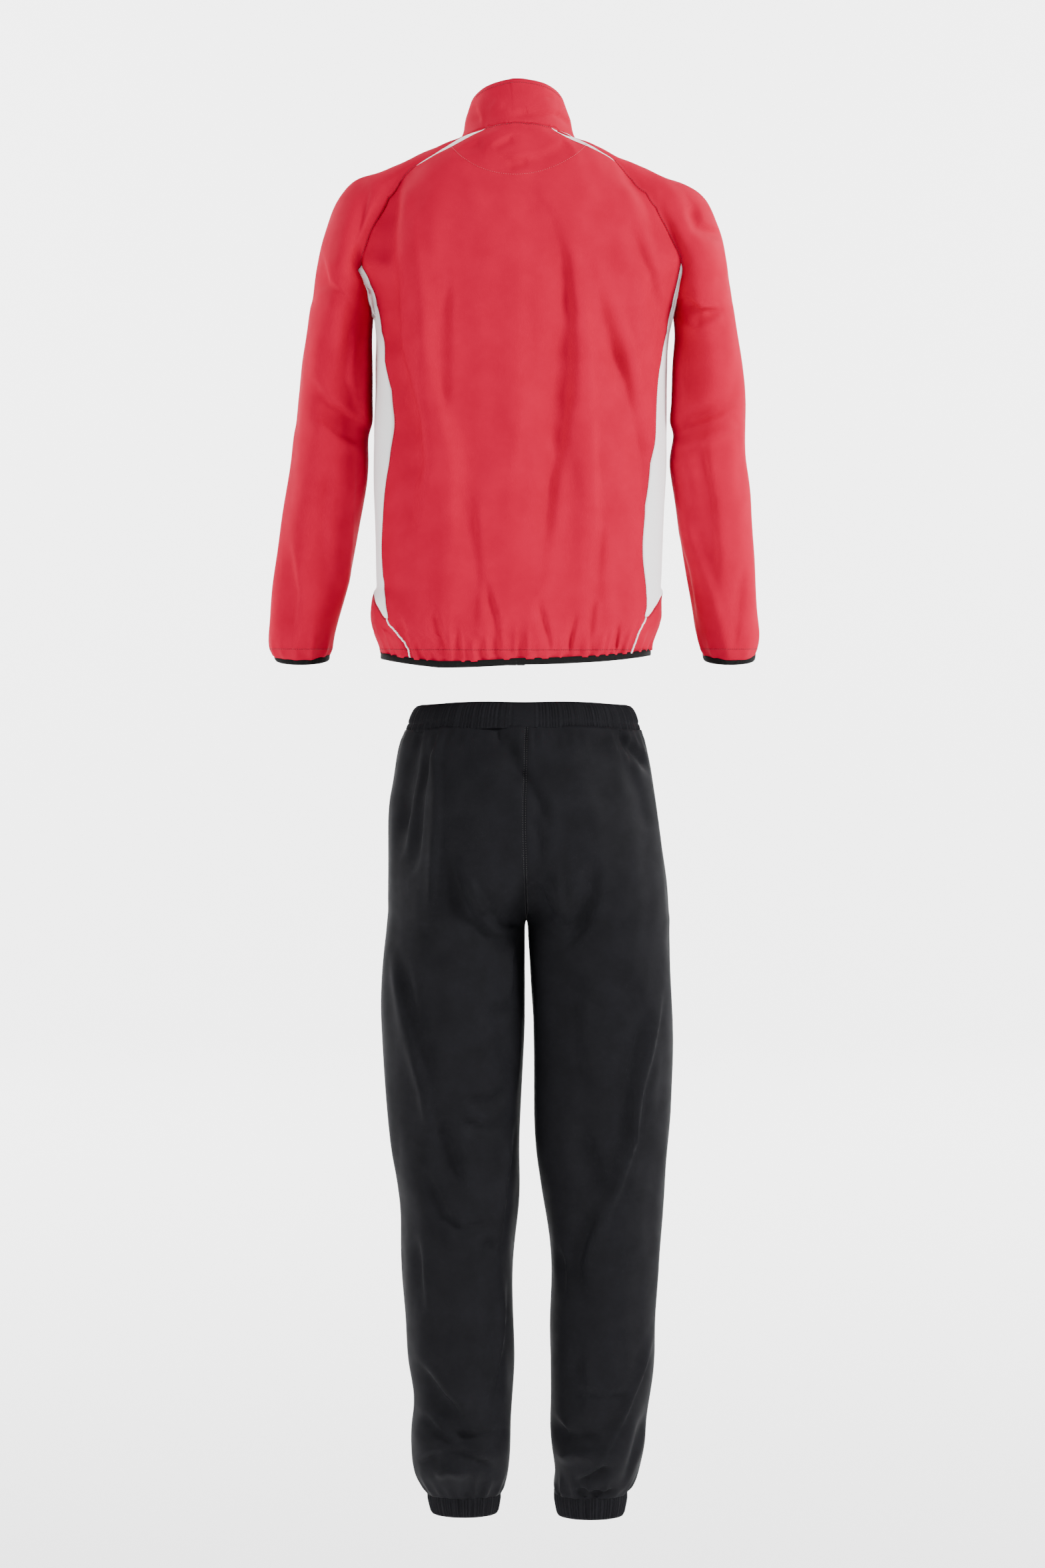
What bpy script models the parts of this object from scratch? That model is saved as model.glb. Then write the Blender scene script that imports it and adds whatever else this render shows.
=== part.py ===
"""A two-piece tracksuit, filled out and hollow: raglan jacket with a stand-up collar, and trousers.

The back of both garments faces -Y and left is -X. The origin is at the base of the neck.
Sizes are in millimetres and `cloth_object` turns them into metres. `down` is the distance below
the origin. Every seam edge is shared by the pieces that meet there, and each piece is then drawn
back from it by half of the seam gap.
"""

import math
import random

import bpy
import numpy as np

MM = 0.001
WALL = 1.6
SEAM_GAP = 0.3
MOST_DRAW_BACK = 14.0
BINDING_WALL = 2.6
BINDING_SHIFT = 0.4
PIPING_LIFT = 0.6
ELASTIC_WALL = 2.2
SEED = 7

# Colours as linear RGB, with roughness
RED = (0.62, 0.033, 0.05, 1.0)
WHITE = (0.86, 0.88, 0.88, 1.0)
BLACK = (0.02, 0.02, 0.022, 1.0)
METAL = (0.05, 0.05, 0.055, 1.0)
CLOTH_ROUGHNESS = 0.62
ELASTIC_ROUGHNESS = 0.75
METAL_ROUGHNESS = 0.4

# Neck ring, where the collar is sewn on
NECK_X = 3.5
NECK_Y = -18.0
NECK_HALF_WIDTH = 75.5
NECK_BACK = 66.0
NECK_FRONT = 74.0
NECK_RISE = 17.5
NECK_DIP = 52.0
NECK_CURVE = 1.8
BACK_SEAM_ANGLE = 33.0
FRONT_SEAM_ANGLE = 36.0

# Stand-up collar
COLLAR_TOP_X = 3.0
COLLAR_TOP_HALF_WIDTH = 61.5
COLLAR_TOP_BACK = 52.0
COLLAR_TOP_FRONT = 60.0
COLLAR_TOP_Y = -8.0
COLLAR_SIDE_HEIGHT = 44.0
COLLAR_TILT = 37.0

# Front zip
ZIP_HALF_GAP = 5.0
ZIP_TOP_DROP = 4.0
TAPE_WIDTH = 11.0
TAPE_WALL = 1.0
TAPE_GAP = 0.45
NEAR_ZIP = 5
CHAIN_WIDTH = 5.4
CHAIN_WALL = 2.4
CHAIN_LIFT = 0.3
SLIDER_WIDTH = 9.0
SLIDER_HEIGHT = 12.0
SLIDER_WALL = 2.0
SLIDER_DROP = 7.0
BRIDGE_WIDTH = 2.2
BRIDGE_LENGTH = 9.0
BRIDGE_WALL = 1.2
BRIDGE_OPENING = 2.8
PULL_BAR = 1.5
PULL_WIDTH = 7.0
PULL_LENGTH = 26.0
PULL_CLEAR = 0.6

# Numbers of columns and rows
BACK_COLUMNS = 18
FRONT_COLUMNS = 9
SIDE_COLUMNS = 8
SLEEVE_COLUMNS = 14
LEG_COLUMNS = 7
COLLAR_ROWS = 2
BACK_SPLIT = 2
FRONT_SPLIT = 3
BINDING_COLUMNS = 80
CUFF_COLUMNS = 24
WAIST_RIBS = 42
ANKLE_RIBS = 22

# Gathers
HEM_GATHER = 1.8
WAIST_RIB = 1.0
ANKLE_RIB = 1.2


class Table:
    """Rows of named columns. The first column is the key, in rising order."""

    def __init__(self, columns, rows):
        self.columns = columns.split()
        self.values = np.array(rows, float)

    def column(self, name):
        return self.values[:, self.columns.index(name)]

    def at(self, key, name):
        """The column's value at a key, on a smooth curve with no overshoot."""
        keys = self.values[:, 0]
        values = self.column(name)
        steps = np.diff(keys)
        rates = np.diff(values) / steps
        slopes = np.concatenate([rates[:1], np.zeros(len(keys) - 2), rates[-1:]])
        for i in range(1, len(keys) - 1):
            if rates[i - 1] * rates[i] > 0:
                slopes[i] = 2 * rates[i - 1] * rates[i] / (rates[i - 1] + rates[i])
        i = int(np.clip(np.searchsorted(keys, key) - 1, 0, len(steps) - 1))
        t = float(np.clip((key - keys[i]) / steps[i], 0, 1))
        rise = steps[i] * (slopes[i] * t * (1 - t) ** 2 - slopes[i + 1] * (1 - t) * t**2)
        return values[i] + (values[i + 1] - values[i]) * t * t * (3 - 2 * t) + rise


# Shoulder part of the sleeves, from the neck to the underarm. Each row is one cut across the
# shoulder: the outermost point, the back seam point, half of the depth, the turn from the
# outermost point to the seam in degrees, the middle's y, and how much lower the front seam is.
SHOULDER = Table(
    "row lout ldown lseam lsdown rout rdown rseam rsdown depth turn y drop",
    [
        (0, -71, -2, -38, -12, 78, -2, 45, -12, 64.0, 59, -18, 44),
        (1, -100, 8, -66, -1, 103, 10, 68, -2, 59.5, 61, -17, 42),
        (2, -134, 24, -97, 17, 134, 24, 100, 14, 53.4, 64, -15, 38),
        (3, -170, 38, -130, 37, 172, 39, 127, 32, 50.3, 69, -13, 34),
        (4, -201, 49, -151, 59, 205, 52, 149, 55, 50.3, 77, -11, 28),
        (5, -223, 64, -166, 79, 234, 66, 167, 73, 53.0, 87, -9, 22),
        (6, -237, 84, -177, 100, 251, 85, 180, 93, 58.6, 98, -7, 16),
        (7, -246, 107, -188, 121, 261, 107, 191, 115, 66.6, 109, -5, 12),
        (8, -254, 134, -196, 144, 270, 130, 203, 140, 76.0, 118, -3, 9),
        (9, -260, 162, -201, 168, 276, 161, 213, 164, 84.4, 124, -1, 6),
        (10, -263, 179, -196, 190, 278, 178, 212, 190, 83.5, 130, 0, 4),
        (11, -265, 196, -191, 208, 281, 196, 209, 210, 83.7, 145, 0, 2),
        (12, -267, 209, -188, 220, 283, 210, 205.5, 222, 84.0, 162, 1, 1),
        (13, -270, 221, -187, 225, 285, 221, 204.5, 227, 84.0, 180, 1, 0),
    ],
)
TIP_ROW = 9
UNDERARM_ROW = 13
INSERT_ROWS = 3
INSERT_WIDTH = (0.0, 5.4, 3.6, 0.0)
# Direction across the inserts: towards the middle, back and down
INSERT_LEAN = (0.8, 0.35, 0.49)

# Sleeves below the underarm: outer and inner edge, half of the depth, the middle's y
SLEEVE = Table(
    "down lout lin rout rin depth y",
    [
        (255, -275, -190, 290, 207, 82, 2),
        (285, -280, -190, 295, 205, 80, 4),
        (320, -284, -190, 299, 204, 77, 7),
        (348, -287, -190, 300, 203, 75, 10),
        (368, -289, -191, 300, 202, 73, 13),
        (386, -292, -196, 300, 206, 71, 15),
        (416, -295, -196, 301, 201, 69, 18),
        (451, -300, -198, 305, 205, 66, 20),
        (495, -307, -206, 308, 213, 62, 22),
        (539, -313, -214, 312, 220, 58, 24),
        (582, -320, -223, 314, 227, 54, 27),
        (617, -323, -233, 316, 233, 51, 30),
        (643, -325, -240, 319, 237, 48, 32),
        (660, -324, -244, 317, 242, 44, 33),
        (671, -320, -247, 313, 246, 38, 34),
    ],
)

# Torso below the underarm: half widths to the left and right, depth behind and before the
# middle, and how square the section is. The cuts above the underarm are as square.
ARC_SQUARE = 2.4
TORSO = Table(
    "down left right back front square",
    [
        (168, 222, 238, 140, 126, 2.4),
        (218, 189, 206, 147, 138, 2.4),
        (255, 185, 199, 148, 140, 2.4),
        (290, 184, 196, 147, 140, 2.4),
        (338, 184, 195, 144, 138, 2.4),
        (373, 186, 195, 141, 135, 2.4),
        (444, 186, 194, 136, 130, 2.4),
        (522, 184, 191, 134, 130, 2.4),
        (590, 183, 189, 135, 133, 2.4),
        (605, 188, 189, 136, 134, 2.4),
        (629, 190, 189, 137, 135, 2.4),
        (650, 186, 184, 136, 134, 2.4),
        (670, 178, 176, 132, 130, 2.4),
        (684, 175, 173, 129, 127, 2.4),
    ],
)

# Profile of the middle of the back and front above the underarm: y measured from the middle
CENTRE = Table(
    "down back front",
    [
        (-18, 84, 50),
        (0, 92, 52),
        (30, 103, 54),
        (52, 110, 56),
        (76, 118, 68),
        (108, 126, 90),
        (140, 134, 112),
        (172, 140, 128),
        (218, 147, 138),
    ],
)
BACK_CENTRE_DOWN = (-17.5, -5, 12, 34, 58, 80, 103, 126, 149, 172)
FRONT_CENTRE_DOWN = (52, 60, 72, 87, 103, 119, 135, 151, 167, 184)

# Seams between the back and the white side panels, and below them the piped seam
SIDE_SEAM = Table(
    "down left right",
    [
        (168, -201, 213),
        (193, -192, 207),
        (218, -185, 201),
        (244, -181, 196),
        (272, -177, 191),
        (320, -168, 183),
        (368, -163, 180),
        (410, -165, 175),
        (444, -168, 171),
        (490, -172, 166),
        (522, -174, 163),
        (560, -173, 165),
        (590, -171, 168),
        (609, -169, 169),
        (631, -167, 167),
        (641, -159, 162),
        (650, -151, 157),
        (661, -144, 153),
        (676, -138, 148),
        (684, -136, 146),
    ],
)
SEAM_Y = Table("down y", [(168, 70), (193, 60), (218, 49), (244, 46), (272, 50), (290, 54)])
UPPER_LEVELS = (193, 218, 252, 290)
LOWER_LEVELS = (330, 373, 425, 480, 535, 575)
CORNER_LEVELS = (592, 605, 618, 631)
PIPED_LEVELS = (641, 650, 661, 670)
# Share of the way from the front seam's place to the back seam where the red corner's edge runs
CORNER_EDGE = Table("down share", [(575, 0.0), (592, 0.5), (605, 0.72), (618, 0.86), (631, 1.0)])
SIDE_TUCK = 3.0
HEM_DOWN = 680.0
HEM_SIDE_RISE = 12.0
HEM_BINDING_HEIGHT = 7.0
BINDING_STEP = 0.4
PIPING_WIDTH = 2.4
PIPING_WALL = 1.0

# Trouser legs: outer and inner edge of each leg, the depth behind and before the leg's middle,
# the turn from the outer edge to the centre seam in degrees, and the middle's y
LEG = Table(
    "down lout lin rout rin back front turn y",
    [
        (762, -145, 13, 162, 13, 100, 88, 90, 0),
        (788, -154, 12, 170, 12, 112, 96, 90, 0),
        (820, -160, 11, 177, 11, 124, 104, 91, 0),
        (856, -166, 10, 182, 10, 133, 110, 93, 0),
        (895, -168, 10, 187, 10, 138, 114, 97, 0),
        (931, -168, 11, 192, 11, 138, 116, 104, 0),
        (962, -168, 12, 196, 12, 134, 115, 116, 0),
        (988, -168, 13, 198, 13, 127, 112, 135, 0),
        (1006, -168, 13, 199, 13, 120, 109, 156, 0),
        (1018, -169, 13, 200, 13, 116, 107, 180, 0),
        (1036, -171, 10, 200, 16, 113, 105, 180, 0),
        (1071, -175, 10, 201, 18, 110, 103, 180, 1),
        (1124, -177, 11, 202, 21, 105, 100, 180, 2),
        (1176, -175, 10, 204, 23, 101, 97, 180, 3),
        (1228, -172, 7, 203, 24, 97, 94, 180, 4),
        (1281, -168, 4, 201, 25, 93, 91, 180, 4),
        (1333, -161, 3, 196, 29, 90, 87, 180, 3),
        (1385, -152, 3, 192, 37, 88, 84, 180, 1),
        (1438, -150, -3, 188, 44, 86, 80, 180, -1),
        (1490, -148, -6, 185, 46, 84, 77, 180, -3),
        (1543, -144, -5, 181, 44, 82, 74, 180, -5),
        (1595, -141, -4, 179, 44, 80, 72, 180, -6),
        (1639, -134, -6, 173, 45, 78, 71, 180, -6),
        (1674, -137, -8, 169, 45, 76, 70, 180, -5),
        (1704, -138, -9, 167, 47, 72, 67, 180, -4),
        (1735, -135, -11, 160, 51, 64, 61, 180, -2),
        (1754, -126, -16, 153, 50, 54, 53, 180, 0),
        (1768, -116, -21, 144, 51, 46, 46, 180, 1),
    ],
)
CROTCH_ROW = 9
# How far the waist dips at the sides and the front, fading over the first rows of the legs
WAIST_SIDE_DIP = 14.0
WAIST_FRONT_DIP = 10.0
WAIST_DIP_FADE = (1.0, 0.85, 0.62, 0.35, 0.12)

# Elastic bands: where the ring starts and ends, its middle's x and y, its half width and its
# depth behind and before the middle
WAISTBAND = Table(
    "down x y half back front",
    [
        (730.5, 9.5, 0, 143, 95, 83),
        (752.5, 9.0, 0, 148, 98, 86),
        (761.4, 8.6, 0, 151, 99, 87),
    ],
)
ANKLE_CUFFS = {
    -1: Table("down x y half back front", [(1768.6, -69, 1, 46, 44, 44), (1794, -68, 2, 42, 41, 41)]),
    1: Table("down x y half back front", [(1768.6, 97, 1, 46, 44, 44), (1797, 97, 2, 42, 41, 41)]),
}
CUFF_BINDINGS = {
    -1: Table("down x y half back front", [(671.6, -283, 34, 36, 37, 37), (678, -282, 34, 34, 36, 36)]),
    1: Table("down x y half back front", [(671.6, 280, 34, 34, 37, 37), (678, 280, 34, 32, 36, 36)]),
}
WAIST_JOIN = 12.0

# Folds: where each runs as x and down, its half width and depth, a trough being negative. A fold
# keeps this share of its rise at its ends.
FOLD_END = 0.08
FOLD_ROUND = 0.7
BACK_FOLDS = [
    ([(-135, 90), (-150, 190), (-148, 300), (-140, 430)], 16, -5),
    ([(-110, 70), (-108, 200), (-112, 330), (-118, 470)], 18, 4),
    ([(10, 60), (38, 180), (50, 320), (56, 470), (62, 600)], 15, -4),
    ([(75, 110), (84, 230), (84, 380), (86, 540)], 18, 4),
    ([(110, 90), (126, 190), (130, 320), (128, 450)], 14, -4),
    ([(150, 170), (152, 290), (146, 420)], 14, 3),
    ([(-60, 300), (-66, 430), (-60, 560), (-66, 640)], 16, -3),
]
FRONT_FOLDS = [
    ([(-120, 120), (-128, 260), (-118, 400)], 18, -4),
    ([(-70, 160), (-78, 330), (-72, 500)], 20, 3),
    ([(124, 130), (130, 250), (122, 410)], 18, -4),
    ([(70, 170), (66, 350), (74, 520)], 20, 3),
]
SLEEVE_FOLDS = [
    ([(-268, 330), (-240, 372), (-206, 390)], 12, -5),
    ([(-264, 372), (-232, 404), (-204, 418)], 12, 3),
    ([(-258, 200), (-236, 300), (-228, 400)], 14, -4),
    ([(-286, 470), (-262, 560), (-270, 640)], 14, 3),
    ([(283, 320), (250, 365), (214, 385)], 12, -5),
    ([(280, 372), (246, 404), (214, 416)], 12, 4),
    ([(252, 190), (238, 290), (242, 400)], 14, -4),
    ([(290, 470), (268, 560), (274, 640)], 14, 3),
]
LEG_BACK_FOLDS = [
    ([(-125, 785), (-141, 822), (-150, 862), (-153, 905)], 10, -4),
    ([(-102, 815), (-104, 927), (-110, 1010)], 14, 5),
    ([(-20, 770), (-8, 800), (10, 830), (40, 866), (50, 940)], 12, -3),
    ([(-86, 905), (-84, 955), (-60, 1000), (-24, 1046)], 14, -4),
    ([(100, 935), (106, 972), (90, 1016), (62, 1046)], 14, -4),
    ([(-156, 1080), (-142, 1143), (-124, 1214), (-92, 1318)], 16, 5),
    ([(-108, 1311), (-76, 1366), (-60, 1400), (-28, 1406)], 14, -6),
    ([(190, 1096), (176, 1164), (160, 1246), (142, 1325), (112, 1408)], 16, 6),
    ([(100, 1220), (84, 1302), (108, 1360)], 14, -5),
    ([(-128, 1640), (-86, 1668), (-30, 1660)], 13, -7),
    ([(-124, 1690), (-74, 1716), (-22, 1704)], 12, 6),
    ([(66, 1650), (110, 1676), (156, 1650)], 13, -7),
    ([(64, 1704), (104, 1722), (150, 1700)], 12, 6),
]
LEG_FRONT_FOLDS = [
    ([(-120, 800), (-136, 860), (-140, 930)], 14, -4),
    ([(130, 800), (146, 860), (152, 930)], 14, -4),
    ([(-40, 1010), (-84, 1060), (-130, 1090)], 16, -5),
    ([(60, 1010), (104, 1060), (150, 1090)], 16, -5),
    ([(-130, 1400), (-80, 1420), (-30, 1400)], 16, 6),
    ([(66, 1400), (110, 1424), (160, 1402)], 16, 6),
    ([(-124, 1650), (-76, 1680), (-26, 1660)], 13, -7),
    ([(66, 1660), (108, 1684), (154, 1656)], 13, -7),
    ([(-120, 1706), (-70, 1724), (-24, 1712)], 12, 6),
    ([(66, 1710), (104, 1726), (148, 1708)], 12, 6),
]


def lerp(a, b, t):
    return a + (b - a) * t


def clear_scene():
    for obj in list(bpy.data.objects):
        bpy.data.objects.remove(obj)


def material(name, colour, roughness, metallic=0.0):
    found = bpy.data.materials.new(name)
    found.use_nodes = True
    shader = found.node_tree.nodes["Principled BSDF"]
    shader.inputs["Base Color"].default_value = colour
    shader.inputs["Roughness"].default_value = roughness
    shader.inputs["Metallic"].default_value = metallic
    return found


class Garment:
    """Points shared by the pieces of one garment, so that pieces meet edge to edge."""

    def __init__(self):
        self.points = []
        self.index = {}
        self.pieces = {}

    def point(self, place):
        key = tuple(int(round(v * 50)) for v in place)
        if key not in self.index:
            self.index[key] = len(self.points)
            self.points.append(np.array(place, float))
        return self.index[key]

    def add(self, name, faces):
        """Keeps a piece's faces, which are lists of places, as lists of shared points."""
        kept = []
        for face in faces:
            corners = []
            for place in face:
                index = self.point(place)
                if index not in corners:
                    corners.append(index)
            if len(corners) > 2:
                kept.append(corners)
        self.pieces[name] = kept

    def normals(self):
        normals = np.zeros((len(self.points), 3))
        for faces in self.pieces.values():
            for face in faces:
                corners = [self.points[i] for i in face]
                across = np.zeros(3)
                for a, b in zip(corners, corners[1:] + corners[:1]):
                    across += np.cross(a, b)
                for i in face:
                    normals[i] += across
        return normals / np.maximum(np.linalg.norm(normals, axis=1), 1e-9)[:, None]

    def fold(self, folds, side, pieces):
        """Moves the points of the named pieces along their normals where a fold passes."""
        normals = self.normals()
        chosen = {i for name in pieces for face in self.pieces[name] for i in face}
        for i in chosen:
            facing = np.clip(side * normals[i][1] * 2.0, 0, 1)
            self.points[i] = self.points[i] + normals[i] * facing * fold_height(self.points[i], folds)


def fold_height(place, folds):
    """Height of all the folds at a place, fading at both ends of each."""
    total = 0.0
    flat = np.array([place[0], -place[2]])
    for route, width, depth in folds:
        corners = [np.array(corner, float) for corner in route]
        lengths = [np.linalg.norm(b - a) for a, b in zip(corners, corners[1:])]
        nearest, along = 1e9, 0.0
        done = 0.0
        for a, b, length in zip(corners, corners[1:], lengths):
            t = float(np.clip(np.dot(flat - a, b - a) / length**2, 0, 1))
            gap = np.linalg.norm(flat - lerp(a, b, t))
            if gap < nearest:
                nearest, along = gap, done + t * length
            done += length
        fade = math.sin(math.pi * lerp(FOLD_END, 1 - FOLD_END, along / done)) ** FOLD_ROUND
        total += depth * fade * math.exp(-((nearest / width) ** 2))
    return total


def grid_faces(rows):
    """Faces between the rows of places, each with as many columns as the row before."""
    faces = []
    for upper, lower in zip(rows, rows[1:]):
        for j in range(len(upper) - 1):
            faces.append([upper[j], lower[j], lower[j + 1], upper[j + 1]])
    return faces


def gathered_faces(upper, lower):
    """Faces from a row to one with more columns, for the start of the gathers."""
    split = (len(lower) - 1) // (len(upper) - 1)
    faces = []
    for j in range(len(upper) - 1):
        run = lower[j * split : (j + 1) * split + 1]
        half = split // 2
        for k in range(half):
            faces.append([upper[j], run[k], run[k + 1]])
        faces.append([upper[j], run[half], upper[j + 1]])
        for k in range(half, split):
            faces.append([upper[j + 1], run[k], run[k + 1]])
    return faces


def border_of(faces):
    """Directed edges that only one face uses."""
    edges = {}
    for face in faces:
        for a, b in zip(face, face[1:] + face[:1]):
            edges[(a, b)] = edges.get((a, b), 0) + 1
    return [(a, b) for a, b in edges if (b, a) not in edges]


def cloth_object(name, garment, finish, wall=WALL, shift=0.0, outer_raise=None):
    """One closed solid: the piece's faces moved out and in by half of the wall, with its rim."""
    faces = garment.pieces[name]
    normals = garment.normals()
    border = border_of(faces)
    inward = {}
    for a, b in border:
        face = next(f for f in faces if a in f and b in f)
        middle = sum(garment.points[i] for i in face) / len(face)
        edge = garment.points[b] - garment.points[a]
        edge = edge / max(np.linalg.norm(edge), 1e-9)
        towards = middle - garment.points[a]
        towards = towards - edge * np.dot(towards, edge)
        towards = towards / max(np.linalg.norm(towards), 1e-9)
        for i in (a, b):
            inward.setdefault(i, []).append(towards)
    used = sorted({i for face in faces for i in face})
    place = {i: k for k, i in enumerate(used)}
    vertices = []
    for sign in (1, -1):
        for i in used:
            at = garment.points[i]
            if i in inward:
                at = at + drawn_back(inward[i], normals[i]) * SEAM_GAP / 2
            height = shift + sign * wall / 2
            if sign > 0 and outer_raise:
                height += outer_raise.get(i, 0.0)
            vertices.append((at + normals[i] * height) * MM)
    count = len(used)
    flat = [part for face in faces for part in split_face(garment.points, face)]
    solid = [[place[i] for i in part] for part in flat]
    solid += [[place[i] + count for i in reversed(part)] for part in flat]
    for a, b in border:
        solid += rim_faces(place[a], place[b], count, a < b)
    return mesh_object(name, vertices, solid, finish)


def split_face(points, face):
    """A four-cornered face as two triangles, so that both sides of its wall are split alike."""
    if len(face) < 4:
        return [face]
    a, b, c, d = face
    if np.linalg.norm(points[a] - points[c]) < np.linalg.norm(points[b] - points[d]):
        return [[a, b, c], [a, c, d]]
    return [[a, b, d], [b, c, d]]


def rim_faces(a, b, count, rising):
    """Two triangles across the wall's edge, split the same way on both sides of a seam."""
    if rising:
        return [[b, a, b + count], [a, a + count, b + count]]
    return [[b, a, a + count], [b, a + count, b + count]]


def drawn_back(directions, normal):
    """The shift, in half gaps, that takes a corner back from every edge that meets there."""
    total = sum(directions)
    total = total - normal * np.dot(total, normal)
    size = np.linalg.norm(total)
    if size < 1e-6:
        return np.zeros(3)
    unit = total / size
    least = min(np.dot(d, unit) for d in directions)
    return unit / max(least, 1 / MOST_DRAW_BACK)


def mesh_object(name, vertices, faces, finish):
    mesh = bpy.data.meshes.new(name)
    mesh.from_pydata([tuple(v) for v in vertices], [], faces)
    mesh.materials.append(finish)
    mesh.shade_smooth()
    obj = bpy.data.objects.new(name, mesh)
    bpy.context.scene.collection.objects.link(obj)
    return obj


def neck_ring(angle):
    """A point of the neck seam. The angle is 0 at the centre back and turns to the right."""
    across, along = math.sin(angle), math.cos(angle)
    level = 1 - abs(across) ** NECK_CURVE
    depth = NECK_BACK if along > 0 else NECK_FRONT
    height = NECK_RISE * level if along > 0 else -NECK_DIP * level
    middle = NECK_X * (1 + along) / 2
    return np.array([middle + NECK_HALF_WIDTH * across, NECK_Y - depth * along, height])


def collar_top(angle):
    across, along = math.sin(angle), math.cos(angle)
    depth = COLLAR_TOP_BACK if along > 0 else COLLAR_TOP_FRONT
    height = COLLAR_SIDE_HEIGHT + COLLAR_TILT * along
    middle = COLLAR_TOP_X * (1 + along) / 2
    return np.array([middle + COLLAR_TOP_HALF_WIDTH * across, COLLAR_TOP_Y - depth * along, height])


def shoulder_value(row, name):
    return SHOULDER.column(name)[row]


def shoulder_row(row, side):
    """Places across one shoulder cut, from the back seam over the outside to the front seam."""
    key = "l" if side < 0 else "r"
    outer = np.array([shoulder_value(row, key + "out"), 0, -shoulder_value(row, key + "down")])
    seam = np.array([shoulder_value(row, key + "seam"), 0, -shoulder_value(row, key + "sdown")])
    if row == 0:
        back, front = math.radians(BACK_SEAM_ANGLE), math.radians(180 - FRONT_SEAM_ANGLE)
        turns = [lerp(back, front, j / SLEEVE_COLUMNS) for j in range(SLEEVE_COLUMNS + 1)]
        return [neck_ring(side * turn) for turn in turns]
    turn = math.radians(shoulder_value(row, "turn"))
    depth = shoulder_value(row, "depth")
    reach = np.linalg.norm(outer - seam) / (1 - math.cos(turn))
    unit = (outer - seam) / np.linalg.norm(outer - seam)
    middle = outer - unit * reach
    places = []
    for j in range(SLEEVE_COLUMNS + 1):
        angle = lerp(-turn, turn, j / SLEEVE_COLUMNS)
        share = (1 - math.cos(angle)) / (1 - math.cos(turn))
        place = middle + unit * reach * math.cos(angle)
        place[1] = shoulder_value(row, "y") + depth * math.sin(angle)
        if angle > 0:
            place[2] -= shoulder_value(row, "drop") * share
        places.append(place)
    return places


def sleeve_ring(row, side):
    """Places round the sleeve below the underarm, starting and ending at the underarm seam."""
    key = "l" if side < 0 else "r"
    down = SLEEVE.column("down")[row]
    outer, inner = SLEEVE.column(key + "out")[row], SLEEVE.column(key + "in")[row]
    depth, y = SLEEVE.column("depth")[row], SLEEVE.column("y")[row]
    places = []
    for j in range(SLEEVE_COLUMNS + 1):
        angle = lerp(-math.pi, math.pi, j / SLEEVE_COLUMNS)
        x = (outer + inner) / 2 + (outer - inner) / 2 * math.cos(angle)
        places.append(np.array([x, y + depth * math.sin(angle), -down]))
    places[-1] = places[0]
    return places


def sleeve_rows(side):
    rows = [shoulder_row(row, side) for row in range(UNDERARM_ROW + 1)]
    rows[-1][-1] = rows[-1][0]
    return rows + [sleeve_ring(row, side) for row in range(len(SLEEVE.values))]


def ring_point(down, angle):
    """A point of the torso's section. The angle is 0 at the centre back, positive to the right."""
    square = TORSO.at(down, "square")
    width = TORSO.at(down, "right" if math.sin(angle) > 0 else "left")
    depth = TORSO.at(down, "back" if math.cos(angle) > 0 else "front")
    across = math.copysign(abs(math.sin(angle)) ** (2 / square), math.sin(angle))
    along = math.copysign(abs(math.cos(angle)) ** (2 / square), math.cos(angle))
    return np.array([width * across, -depth * along, -down])


def ring_angle(down, x):
    """The angle behind the torso's middle where its section has this x."""
    width = TORSO.at(down, "right" if x > 0 else "left")
    share = min(abs(x) / width, 1.0)
    return math.copysign(math.asin(share ** (TORSO.at(down, "square") / 2)), x)


def hem_level(down, angle):
    """Raises the lowest rows towards the sides, where the hem is shorter."""
    share = np.clip((down - UPPER_LEVELS[-1]) / (HEM_DOWN - UPPER_LEVELS[-1]), 0, 1) ** 2
    return down - HEM_SIDE_RISE * share * math.sin(angle) ** 2


def torso_point(down, angle):
    place = ring_point(down, angle)
    place[2] = -hem_level(down, angle)
    return place


def seam_point(down, side, front):
    """A place on the seam between a side panel and the back or front."""
    x = SIDE_SEAM.at(down, "left" if side < 0 else "right")
    if down < UPPER_LEVELS[-1]:
        y = SEAM_Y.at(down, "y")
        return np.array([x, y if front else -y, -down])
    angle = ring_angle(down, x)
    return torso_point(down, side * (math.pi - abs(angle)) if front else angle)


def back_angle(down, side):
    return ring_angle(down, SIDE_SEAM.at(down, "left" if side < 0 else "right"))


def front_angle(down, side):
    """The angle where a front panel ends. It wraps round the side in its lower corner."""
    back = abs(back_angle(down, side))
    if down <= LOWER_LEVELS[-1]:
        return side * (math.pi - back)
    share = CORNER_EDGE.at(down, "share") if down < CORNER_LEVELS[-1] else 1.0
    start = math.pi - abs(back_angle(LOWER_LEVELS[-1], side))
    return side * lerp(start, back, share)


def arc_row(start, end, centre_down, centre_depth, columns, square=ARC_SQUARE):
    """Places from one seam point to the other over the middle of the back or front."""
    sign = math.copysign(1, start[1] + end[1])
    places = []
    for j in range(columns + 1):
        t = j / columns
        x = lerp(start[0], end[0], t)
        edge = start if x < 0 else end
        share = min(abs(x / edge[0]), 1.0)
        width = abs(edge[0]) / (1 - (abs(edge[1]) / centre_depth) ** square) ** (1 / square)
        y = sign * centre_depth * (1 - (abs(x) / width) ** square) ** (1 / square)
        down = lerp(centre_down, -edge[2], share**2)
        places.append(np.array([x, y, -down]))
    places[0], places[-1] = start, end
    return places


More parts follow.
